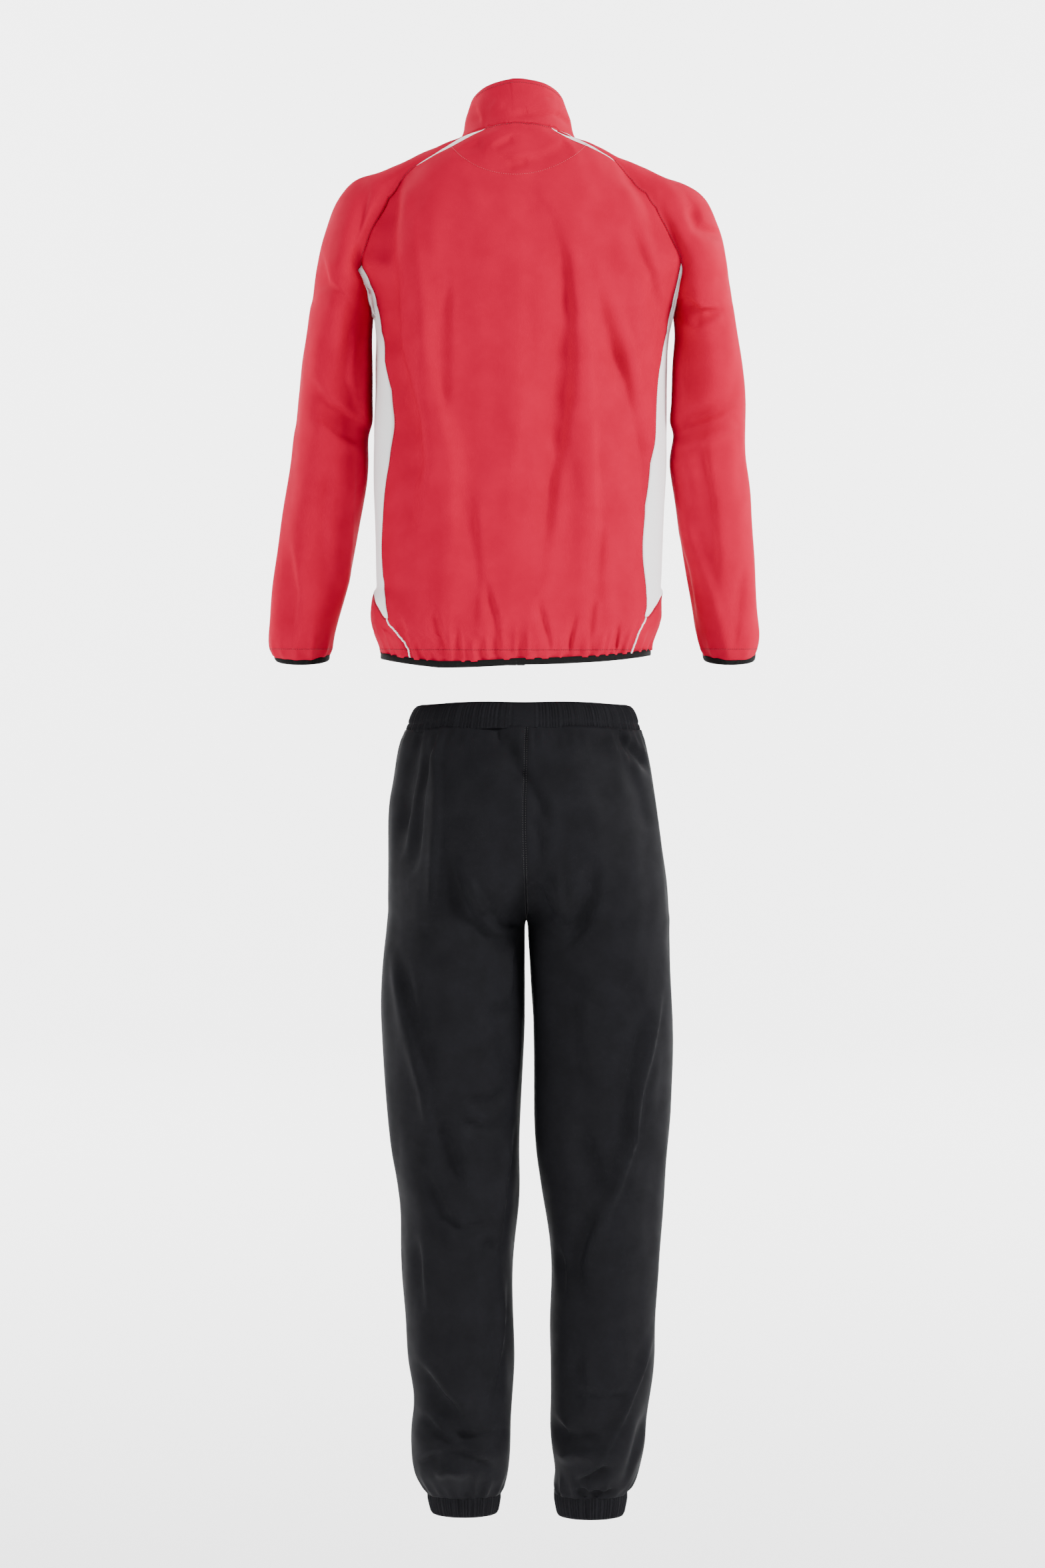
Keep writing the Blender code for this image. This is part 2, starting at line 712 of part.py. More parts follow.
def insert_edge(row, side, places):
    """The back panel's end of a row, drawn in by the width of the white insert."""
    width = INSERT_WIDTH[row] if row <= INSERT_ROWS else 0.0
    across, back, down = INSERT_LEAN
    return places[0] - np.array([side * across, back, down]) * width


def back_rows(sleeves):
    ends = {}
    for side in (-1, 1):
        ends[side] = [insert_edge(row, side, sleeves[side][row]) for row in range(TIP_ROW + 1)]
    turn = math.radians(BACK_SEAM_ANGLE)
    rows = [[neck_ring(lerp(-turn, turn, j / BACK_COLUMNS)) for j in range(BACK_COLUMNS + 1)]]
    rows[0][0], rows[0][-1] = ends[-1][0], ends[1][0]
    for row in range(1, TIP_ROW + 1):
        down = BACK_CENTRE_DOWN[row]
        rows.append(arc_row(ends[-1][row], ends[1][row], down, CENTRE.at(down, "back"), BACK_COLUMNS))
    for down in UPPER_LEVELS[:-1]:
        start, end = seam_point(down, -1, False), seam_point(down, 1, False)
        rows.append(arc_row(start, end, down + 3, TORSO.at(down, "back"), BACK_COLUMNS))
    for down in UPPER_LEVELS[-1:] + LOWER_LEVELS + CORNER_LEVELS + PIPED_LEVELS[:1]:
        rows.append(ring_row(down, back_angle(down, -1), back_angle(down, 1), BACK_COLUMNS))
    return rows


def ring_row(down, start, end, columns):
    """Places on the torso's section, with even turns between two angles."""
    return [torso_point(down, lerp(start, end, j / columns)) for j in range(columns + 1)]


def gathered_rows(start_of, end_of, columns, split, seed):
    """The lowest rows of a panel, with pleats that deepen towards the hem."""
    chance = random.Random(seed)
    split = columns * split
    heights = [chance.uniform(0.5, 1.5) * (-1) ** j for j in range(split + 1)]
    heights[0] = heights[-1] = heights[-2] = 0.0
    heights[1] *= 0.3
    levels = PIPED_LEVELS[1:] + (HEM_DOWN,)
    rows = []
    for k, down in enumerate(levels):
        row = ring_row(down, start_of(down), end_of(down), split)
        gather = HEM_GATHER * (k + 1) / len(levels)
        for j in range(split + 1):
            out = np.array([row[j][0], row[j][1], 0.0])
            row[j] = row[j] + out / np.linalg.norm(out) * heights[j] * gather
        rows.append(row)
    return rows


def panel_faces(rows, lowest):
    """Faces of a jacket panel, from its plain rows and its gathered rows."""
    return grid_faces(rows) + gathered_faces(rows[-1], lowest[0]) + grid_faces(lowest)


def make_back(jacket, sleeves):
    rows = back_rows(sleeves)
    start, end = (lambda d: back_angle(d, -1)), (lambda d: back_angle(d, 1))
    lowest = gathered_rows(start, end, BACK_COLUMNS, BACK_SPLIT, SEED)
    jacket.add("jacket_back", panel_faces(rows, lowest))
    return rows


def zip_edge(down, side):
    """The angle at which a front panel ends beside the zip."""
    width = TORSO.at(down, "right" if side > 0 else "left")
    return side * (math.pi - math.asin((ZIP_HALF_GAP / width) ** (TORSO.at(down, "square") / 2)))


def front_top(row, side, sleeves):
    """One row of a front panel above the tip of the side panel."""
    seam = sleeves[side][row][-1]
    if row == 0:
        start = math.radians(180 - FRONT_SEAM_ANGLE)
        end = math.pi - math.asin(ZIP_HALF_GAP / NECK_HALF_WIDTH)
        return [neck_ring(side * lerp(start, end, j / FRONT_COLUMNS)) for j in range(FRONT_COLUMNS + 1)]
    down = FRONT_CENTRE_DOWN[row]
    return front_arc(seam, side, down, CENTRE.at(down, "front"))


def front_arc(seam, side, down, depth, square=ARC_SQUARE):
    """Places from a front seam to the zip."""
    width = abs(seam[0]) / (1 - (abs(seam[1]) / depth) ** square) ** (1 / square)
    places = []
    for j in range(FRONT_COLUMNS + 1):
        x = lerp(abs(seam[0]), ZIP_HALF_GAP, j / FRONT_COLUMNS)
        y = depth * (1 - (x / width) ** square) ** (1 / square)
        level = lerp(down, -seam[2], (x / abs(seam[0])) ** 2)
        places.append(np.array([side * x, y, -level]))
    places[0] = seam
    return places


def make_front(jacket, side, sleeves):
    name = "jacket_front_left" if side < 0 else "jacket_front_right"
    rows = [front_top(row, side, sleeves) for row in range(TIP_ROW + 1)]
    for down in UPPER_LEVELS[:-1]:
        rows.append(front_arc(seam_point(down, side, True), side, down + 6, TORSO.at(down, "front")))
    for down in UPPER_LEVELS[-1:] + LOWER_LEVELS + CORNER_LEVELS + PIPED_LEVELS[:1]:
        rows.append(ring_row(down, front_angle(down, side), zip_edge(down, side), FRONT_COLUMNS))
    start, end = (lambda d: front_angle(d, side)), (lambda d: zip_edge(d, side))
    lowest = gathered_rows(start, end, FRONT_COLUMNS, FRONT_SPLIT, SEED + side)
    faces = panel_faces(rows, lowest)
    if side < 0:
        faces = [face[::-1] for face in faces]
    jacket.add(name, faces)
    return rows + lowest


def make_side(jacket, side, sleeves):
    """A white side panel: its top follows the armhole, and its lower end tapers to the back."""
    name = "jacket_side_left" if side < 0 else "jacket_side_right"
    sleeve = sleeves[side]
    hole = [sleeve[row][0] for row in range(TIP_ROW, UNDERARM_ROW + 1)]
    hole += [sleeve[row][-1] for row in range(UNDERARM_ROW - 1, TIP_ROW - 1, -1)]
    last = UPPER_LEVELS[-1]
    base = ring_row(last, back_angle(last, side), front_angle(last, side), SIDE_COLUMNS)
    rows = [hole]
    for k, down in enumerate(UPPER_LEVELS[:-1]):
        t = (k + 1) / len(UPPER_LEVELS)
        row = [lerp(top, low, t) for top, low in zip(hole, base)]
        back, front = seam_point(down, side, False) - row[0], seam_point(down, side, True) - row[-1]
        for j in range(SIDE_COLUMNS + 1):
            share = j / SIDE_COLUMNS
            row[j] = row[j] + back * max(0, 1 - 2 * share) + front * max(0, 2 * share - 1)
            row[j][0] -= side * SIDE_TUCK * math.sin(math.pi * share) * math.sin(math.pi * t)
        rows.append(row)
    rows.append(base)
    for down in LOWER_LEVELS + CORNER_LEVELS:
        rows.append(ring_row(down, back_angle(down, side), front_angle(down, side), SIDE_COLUMNS))
    faces = grid_faces(rows)
    if side < 0:
        faces = [face[::-1] for face in faces]
    jacket.add(name, faces)


def make_sleeve(jacket, side, rows):
    name = "sleeve_left" if side < 0 else "sleeve_right"
    faces = grid_faces(rows)
    if side < 0:
        faces = [face[::-1] for face in faces]
    jacket.add(name, faces)


def make_insert(jacket, side, sleeves, back):
    name = "neck_insert_left" if side < 0 else "neck_insert_right"
    faces = []
    for row in range(INSERT_ROWS):
        outer = [sleeves[side][row][0], sleeves[side][row + 1][0]]
        inner = [back[row][0 if side < 0 else -1], back[row + 1][0 if side < 0 else -1]]
        face = [outer[0], outer[1], inner[1], inner[0]]
        faces.append(face if side < 0 else face[::-1])
    jacket.add(name, faces)


def make_collar(jacket, sleeves, back, fronts):
    """The collar stands on the neck edges of the front, sleeves and back, with the same columns."""
    base = fronts[-1][0][::-1] + sleeves[-1][0][::-1][1:] + back[0][1:]
    base += sleeves[1][0][1:] + fronts[1][0][1:]
    rows = []
    for k in range(COLLAR_ROWS + 1):
        t = k / COLLAR_ROWS
        rows.append([lerp(place, collar_above(place), t) for place in base])
    jacket.add("collar", grid_faces(rows[::-1]))
    return rows


def collar_above(place):
    """The place on the collar's top edge over a place of the neck seam."""
    along = (NECK_Y - place[1]) / (NECK_BACK if place[1] < NECK_Y else NECK_FRONT)
    across = (place[0] - NECK_X * (1 + along) / 2) / NECK_HALF_WIDTH
    top = collar_top(math.atan2(across, along))
    top[0] = math.copysign(max(abs(top[0]), ZIP_HALF_GAP), place[0])
    return top


def make_jacket():
    """Fills the jacket's shared points, and gives the rows that end at the zip, from the top down."""
    jacket = Garment()
    sleeves = {side: sleeve_rows(side) for side in (-1, 1)}
    back = make_back(jacket, sleeves)
    fronts = {}
    for side in (-1, 1):
        make_insert(jacket, side, sleeves, back)
        make_sleeve(jacket, side, sleeves[side])
        make_side(jacket, side, sleeves)
        fronts[side] = make_front(jacket, side, sleeves)
    collar = make_collar(jacket, sleeves, back, fronts)
    edges = {1: collar[::-1] + fronts[1][1:], -1: [row[::-1] for row in collar[::-1]] + fronts[-1][1:]}
    body = ["jacket_back", "jacket_side_left", "jacket_side_right"]
    sleeve_names = ["sleeve_left", "sleeve_right"]
    jacket.fold(BACK_FOLDS, -1, body)
    jacket.fold(FRONT_FOLDS, 1, ["jacket_front_left", "jacket_front_right"])
    jacket.fold(SLEEVE_FOLDS, -1, sleeve_names)
    jacket.fold(SLEEVE_FOLDS, 1, sleeve_names)
    return jacket, edges


def leg_row(row, side):
    """Places across one cut of a leg, from the back centre seam over the outside to the front's."""
    key = "l" if side < 0 else "r"
    value = {name: LEG.column(name)[row] for name in LEG.columns}
    outer, seam = value[key + "out"], value[key + "in"]
    turn = math.radians(value["turn"])
    reach = (outer - seam) / (1 - math.cos(turn))
    middle = outer - reach
    fade = WAIST_DIP_FADE[row] if row < len(WAIST_DIP_FADE) else 0.0
    places = []
    for j in range(2 * LEG_COLUMNS + 1):
        angle = lerp(-turn, turn, j / (2 * LEG_COLUMNS))
        depth = value["back"] if angle < 0 else value["front"]
        dip = WAIST_SIDE_DIP * math.cos(angle) ** 2
        if angle > 0:
            dip += WAIST_FRONT_DIP * math.sin(angle) ** 2
        x, y = middle + reach * math.cos(angle), value["y"] + depth * math.sin(angle)
        places.append(np.array([x, y, -value["down"] - dip * fade]))
    if row < CROTCH_ROW:
        places[0][0] = places[-1][0] = LEG.column("rin")[row]
    else:
        places[-1] = places[0]
    return places


def make_trousers():
    trousers = Garment()
    for side, word in ((-1, "left"), (1, "right")):
        rows = [leg_row(row, side) for row in range(len(LEG.values))]
        halves = {
            "trouser_back_" + word: [row[: LEG_COLUMNS + 1] for row in rows],
            "trouser_front_" + word: [row[LEG_COLUMNS:] for row in rows],
        }
        for name, half in halves.items():
            faces = grid_faces(half)
            trousers.add(name, faces if side > 0 else [face[::-1] for face in faces])
    backs = ["trouser_back_left", "trouser_back_right"]
    fronts = ["trouser_front_left", "trouser_front_right"]
    trousers.fold(LEG_BACK_FOLDS, -1, backs)
    trousers.fold(LEG_FRONT_FOLDS, 1, fronts)
    return trousers


def band_rows(sizes, columns, side_dip=0.0, front_dip=0.0):
    """Rows of places round an elastic band, closed on themselves."""
    rows = []
    for down, x, y, half, back, front in sizes.values:
        row = []
        for j in range(columns + 1):
            angle = 2 * math.pi * (j % columns) / columns
            across, along = math.sin(angle), math.cos(angle)
            dip = side_dip * across**2 + (front_dip * along**2 if along < 0 else 0.0)
            depth = back if along > 0 else front
            row.append(np.array([x + half * across, y - depth * along, -down - dip]))
        rows.append(row)
    return rows


def make_band(name, rows, finish, wall, raised=0.0, plain_half=0.0):
    """A closed band, its outer points raised at every other column but for a plain join."""
    band = Garment()
    band.add(name, grid_faces(rows))
    heights = {}
    for row in rows:
        for j, place in enumerate(row):
            plain = abs(place[0] - row[0][0]) < plain_half and place[1] < 0
            heights[band.point(place)] = raised if j % 2 and not plain else 0.0
    return cloth_object(name, band, finish, wall, outer_raise=heights)


def make_hem_binding(finish):
    """The black binding under the hem, open at the zip."""
    rows = []
    top = HEM_DOWN + SEAM_GAP
    for down in (top + BINDING_STEP, top + HEM_BINDING_HEIGHT):
        start, end = zip_edge(HEM_DOWN, -1), zip_edge(HEM_DOWN, 1)
        row = ring_row(HEM_DOWN, start, end, BINDING_COLUMNS)
        rows.append([place + np.array([0, 0, HEM_DOWN - down]) for place in row])
    binding = Garment()
    binding.add("hem_binding", grid_faces(rows))
    cloth_object("hem_binding", binding, finish, BINDING_WALL, shift=BINDING_SHIFT)


def make_piping(side, finish):
    """Thin piping over the seam between the back panel and the front's wrapped corner."""
    name = "hem_piping_left" if side < 0 else "hem_piping_right"
    rows = []
    for down in CORNER_LEVELS[-1:] + PIPED_LEVELS + (HEM_DOWN,):
        angle = back_angle(down, side)
        half = PIPING_WIDTH / 2 / np.linalg.norm(ring_point(down, angle)[:2])
        rows.append([torso_point(down, angle - half), torso_point(down, angle + half)])
    piping = Garment()
    piping.add(name, grid_faces(rows))
    cloth_object(name, piping, finish, PIPING_WALL, shift=WALL / 2 + PIPING_LIFT + PIPING_WALL / 2)


def beside_zip(row, x):
    """The place on a row that ends at the zip, at a distance x from the zip's middle."""
    near = row[-NEAR_ZIP:][::-1]
    return np.array([np.interp(x, [abs(p[0]) for p in near], [p[k] for p in near]) for k in (1, 2)])


def zip_rows(edges, side, x):
    """Places along the zip at a distance x to one side, from the collar's top to below the hem."""
    rows = [np.array([side * x, *beside_zip(row, x)]) for row in edges[side]]
    step = rows[1] - rows[0]
    rows[0] = rows[0] + step * ZIP_TOP_DROP / np.linalg.norm(step)
    return rows + [rows[-1] - np.array([0, 0, HEM_BINDING_HEIGHT])]


def make_zip(edges, tape_finish, metal):
    """The zip's tapes behind the front edges, its chain between them, the slider and the pull."""
    tape_shift = -(WALL + TAPE_WALL) / 2 - TAPE_GAP
    for side, name in ((-1, "zip_tape_left"), (1, "zip_tape_right")):
        inner, outer = zip_rows(edges, side, SEAM_GAP / 2), zip_rows(edges, side, TAPE_WIDTH)
        ends = (outer, inner) if side > 0 else (inner, outer)
        tape = Garment()
        tape.add(name, grid_faces([list(row) for row in zip(*ends)]))
        cloth_object(name, tape, tape_finish, TAPE_WALL, tape_shift)
    left, right = zip_rows(edges, -1, CHAIN_WIDTH / 2), zip_rows(edges, 1, CHAIN_WIDTH / 2)
    chain = Garment()
    chain.add("zip_chain", grid_faces([list(row) for row in zip(right, left)]))
    cloth_object("zip_chain", chain, tape_finish, CHAIN_WALL, CHAIN_LIFT)
    make_slider(zip_rows(edges, 1, 0.0), metal)


def box_mesh(name, frame, low, high, finish):
    """A box from its lowest to its highest corner, each as across, up and out in a frame."""
    origin, up, out = frame
    vertices = []
    for a in (low[0], high[0]):
        for b in (low[1], high[1]):
            for c in (low[2], high[2]):
                vertices.append((origin + np.array([a, 0, 0]) + up * b + out * c) * MM)
    faces = [[2, 3, 1, 0], [5, 7, 6, 4], [1, 5, 4, 0], [6, 7, 3, 2], [4, 6, 2, 0], [3, 7, 5, 1]]
    return mesh_object(name, vertices, faces, finish)


def combine(base, others, operation):
    """Applies boxes to a base as Booleans and keeps them as hidden guides."""
    for other in others:
        cut = base.modifiers.new(other.name, "BOOLEAN")
        cut.operation = operation
        cut.object = other
        other.hide_render = True
        other.display_type = "WIRE"


def zip_frame(line):
    """The place of the slider on the chain, with the directions up the zip and out of it."""
    up = line[0] - line[1]
    up = up / np.linalg.norm(up)
    out = np.cross(up, np.array([1.0, 0, 0]))
    out = out * math.copysign(1, out[1])
    middle = np.array([0.0, line[0][1], line[0][2]]) - up * SLIDER_DROP
    return middle, up, out


def make_slider(line, metal):
    middle, up, out = zip_frame(line)
    plate_back = CHAIN_LIFT + CHAIN_WALL / 2 + SEAM_GAP
    plate_front = plate_back + SLIDER_WALL
    frame = (middle, up, out)
    half, high = SLIDER_WIDTH / 2, SLIDER_HEIGHT / 2
    body = box_mesh("zip_slider", frame, (-half, -high, plate_back), (half, high, plate_front), metal)
    reach, leg = BRIDGE_LENGTH / 2, BRIDGE_WALL
    outer = plate_front + BRIDGE_OPENING + BRIDGE_WALL
    sink = plate_front - SLIDER_WALL / 2
    wide = BRIDGE_WIDTH / 2
    bridge = box_mesh("bridge_guide", frame, (-wide, -reach, sink), (wide, reach, outer), metal)
    opening_low = (-wide - 1, -reach + leg, plate_front)
    opening_high = (wide + 1, reach - leg, plate_front + BRIDGE_OPENING)
    opening = box_mesh("opening_guide", frame, opening_low, opening_high, metal)
    combine(bridge, [opening], "DIFFERENCE")
    combine(body, [bridge], "UNION")
    make_pull(frame, plate_front + BRIDGE_OPENING / 2, metal)


def make_pull(frame, hinge_out, metal):
    """The pull tab hangs from its cross bar, which turns inside the slider's bridge."""
    middle, up, out = frame
    hinge = middle + out * hinge_out
    frame = (np.zeros(3), up, out)
    half, thick = PULL_WIDTH / 2, PULL_BAR / 2
    tab = box_mesh("zip_pull", frame, (-half, -PULL_LENGTH, -thick), (half, thick, thick), metal)
    slot_half, slot_low = BRIDGE_WIDTH / 2 + PULL_CLEAR, -BRIDGE_LENGTH / 2 - 2 * PULL_CLEAR
    slot = box_mesh("slot_guide", frame, (-slot_half, slot_low, -2), (slot_half, -thick, 2), metal)
    combine(tab, [slot], "DIFFERENCE")
    for obj in (tab, slot):
        obj.location = hinge * MM


def main():
    clear_scene()
    red = material("red_polyester", RED, CLOTH_ROUGHNESS)
    white = material("white_polyester", WHITE, CLOTH_ROUGHNESS)
    black = material("black_polyester", BLACK, CLOTH_ROUGHNESS)
    elastic = material("black_elastic", BLACK, ELASTIC_ROUGHNESS)
    metal = material("black_enamelled_metal", METAL, METAL_ROUGHNESS, 1.0)
    jacket, zip_edges = make_jacket()
    for name in jacket.pieces:
        finish = white if "side" in name or "insert" in name else red
        cloth_object(name, jacket, finish)
    trousers = make_trousers()
    for name in trousers.pieces:
        cloth_object(name, trousers, black)
    make_hem_binding(elastic)
    make_zip(zip_edges, black, metal)
    waist = band_rows(WAISTBAND, 2 * WAIST_RIBS, WAIST_SIDE_DIP, WAIST_FRONT_DIP)
    make_band("waistband", waist, elastic, ELASTIC_WALL, WAIST_RIB, WAIST_JOIN)
    for side, word in ((-1, "left"), (1, "right")):
        make_piping(side, white)
        wrist = band_rows(CUFF_BINDINGS[side], CUFF_COLUMNS)
        make_band("cuff_binding_" + word, wrist, elastic, BINDING_WALL)
        ankle = band_rows(ANKLE_CUFFS[side], 2 * ANKLE_RIBS)
        make_band("ankle_cuff_" + word, ankle, elastic, ELASTIC_WALL, ANKLE_RIB)


main()
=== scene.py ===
"""Looks of the two-piece tracksuit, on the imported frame.

The cloth shells follow the outward walls of the frame's nodes, smoothed and creased. Lengths are in
millimetres, and `down` is the distance below the origin, until a mesh is made in metres. The back
faces -Y and left is -X.
"""

import math

import bmesh
import bpy
import numpy as np
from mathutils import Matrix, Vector
from mathutils.bvhtree import BVHTree


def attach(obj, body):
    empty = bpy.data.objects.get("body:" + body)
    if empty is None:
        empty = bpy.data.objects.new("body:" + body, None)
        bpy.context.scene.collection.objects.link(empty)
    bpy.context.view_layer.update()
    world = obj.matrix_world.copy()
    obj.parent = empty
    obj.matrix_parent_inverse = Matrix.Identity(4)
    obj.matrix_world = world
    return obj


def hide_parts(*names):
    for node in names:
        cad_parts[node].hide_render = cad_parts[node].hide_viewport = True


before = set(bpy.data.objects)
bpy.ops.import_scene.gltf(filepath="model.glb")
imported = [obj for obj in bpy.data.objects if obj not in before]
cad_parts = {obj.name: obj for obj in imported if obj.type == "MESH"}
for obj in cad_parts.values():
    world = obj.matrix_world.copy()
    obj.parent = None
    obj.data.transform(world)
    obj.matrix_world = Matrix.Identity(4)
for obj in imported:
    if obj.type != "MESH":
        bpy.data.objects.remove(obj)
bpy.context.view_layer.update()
MM = 0.001

# How the shells are made from the frame's walls
WELD = 0.6
TIP_WELD = 2.8
FRAME_WALL = 1.6
BINDING_WALL = 2.6
BINDING_EDGE = 0.5
BINDING_LIFT = 0.5
BINDING_LAP = 2.4
RIM_SLACK = 0.04
SHELL_WALL = 1.0
SEAM_GROOVE = 0.6
INSERT_EASE = 0.8
FIT_ROUNDS = 4
FINE, COARSE = 3, 2
MERGE = 0.01
QUAD_ANGLE, QUAD_SHAPE = 60, 70

JACKET = (
    "jacket_back", "jacket_front_left", "jacket_front_right", "jacket_side_left", "jacket_side_right",
    "sleeve_left", "sleeve_right", "neck_insert_left", "neck_insert_right", "collar",
)
TROUSERS = ("trouser_back_left", "trouser_back_right", "trouser_front_left", "trouser_front_right")
# Pieces whose folds are broad enough for the coarser surface
COARSER = ("jacket_front_left", "jacket_front_right", "jacket_side_left", "jacket_side_right")
BINDINGS = ("hem_binding", "cuff_binding_left", "cuff_binding_right")

# Folds: the route as x and down, the half width and the height, a trough being negative
JACKET_BACK_FOLDS = [
    ([(-156, 61), (-167, 152), (-160, 260), (-140, 356), (-129, 421), (-140, 501)], 19, -8.0),
    ([(-135, 109), (-124, 206), (-116, 292), (-86, 421), (-86, 528)], 20, 4.0),
    ([(-89, 185), (-94, 292), (-97, 367)], 13, -2.4),
    ([(36, 99), (58, 163), (66, 233), (64, 313), (49, 421), (38, 501), (26, 577)], 16, -6.0),
    ([(84, 185), (90, 313), (96, 448), (98, 544)], 16, 3.6),
    ([(93, 174), (120, 260), (144, 335), (163, 410), (162, 475)], 15, -5.5),
    ([(128, 228), (160, 313)], 12, 2.5),
    ([(144, 115), (176, 185), (184, 238)], 11, -4.0),
    ([(0, 152), (0, 367), (-22, 528)], 26, 2.5),
    ([(-60, 470), (-52, 560), (-58, 640)], 13, -2.6),
    ([(110, 500), (104, 580), (112, 650)], 12, -2.4),
    ([(-40, 22), (-5, 36), (34, 30), (70, 10)], 9, -1.6),
]
JACKET_FRONT_FOLDS = [
    ([(-148, 150), (-140, 260), (-132, 380), (-136, 500)], 17, -4.6),
    ([(-96, 130), (-104, 260), (-92, 420), (-96, 560)], 20, 3.6),
    ([(-52, 200), (-60, 340), (-50, 500), (-56, 620)], 15, -3.6),
    ([(140, 170), (134, 280), (142, 400), (132, 520)], 17, -4.8),
    ([(98, 120), (92, 260), (100, 400), (94, 560)], 20, 3.4),
    ([(56, 220), (48, 330), (58, 480), (50, 610)], 15, -3.4),
    ([(-110, 96), (-80, 120), (-30, 150)], 13, -2.6),
    ([(112, 98), (84, 122), (36, 148)], 13, -2.6),
]
COLLAR_FOLDS = [
    ([(22, -60), (50, -57)], 5, -1.5),
    ([(-14, -27), (20, -33), (58, -31)], 5, -1.7),
    ([(-57, -46), (-48, -20)], 7, -1.6),
    ([(50, -34), (72, -20)], 5, -1.7),
    ([(-30, -50), (-18, -38)], 12, 1.1),
]
HEM_FOLDS = [
    ([(-150, 622), (-137, 672)], 6, -2.2),
    ([(-106, 612), (-97, 648), (-88, 674)], 7, -2.6),
    ([(-76, 640), (-70, 676)], 5, -1.8),
    ([(-40, 578), (-27, 626), (-20, 676)], 8, -3.0),
    ([(28, 600), (38, 640), (44, 674)], 7, -2.4),
    ([(76, 620), (66, 674)], 6, -2.2),
    ([(102, 596), (96, 640), (92, 672)], 8, -2.8),
    ([(132, 630), (127, 672)], 5, -2.0),
]
YOKE_FOLDS = [
    ([(-86, 24), (-42, 8)], 9, -1.6),
    ([(-32, 17), (-4, 3)], 6, -1.5),
    ([(-14, 41), (16, 33)], 7, -1.6),
    ([(57, 6), (73, 28)], 9, -1.6),
]
SLEEVE_FOLDS = [
    ([(-194, 72), (-207, 136), (-202, 185)], 9, -3.0),
    ([(-207, 206), (-221, 313), (-199, 383)], 12, -4.0),
    ([(-242, 421), (-253, 501), (-247, 582)], 14, -3.0),
    ([(-215, 410), (-221, 528), (-237, 625)], 13, 3.0),
    ([(-270, 318), (-240, 352), (-204, 372)], 11, -4.5),
    ([(-262, 366), (-232, 392), (-204, 404)], 10, 3.0),
    ([(-256, 150), (-246, 190), (-216, 214)], 9, -3.0),
    ([(-300, 520), (-290, 590), (-296, 650)], 11, -2.6),
    ([(228, 88), (236, 115), (268, 126)], 9, -4.0),
    ([(217, 211), (236, 228), (263, 226)], 7, -4.2),
    ([(214, 238), (236, 249), (268, 233)], 9, 3.0),
    ([(236, 383), (252, 475), (257, 582)], 13, -3.4),
    ([(214, 475), (241, 555), (268, 636)], 12, 3.0),
    ([(296, 330), (262, 356), (212, 374)], 10, -4.4),
    ([(288, 372), (250, 392), (212, 402)], 9, 3.4),
    ([(206, 500), (222, 560), (232, 640)], 9, -3.2),
    ([(296, 560), (290, 620), (284, 655)], 9, -2.6),
]
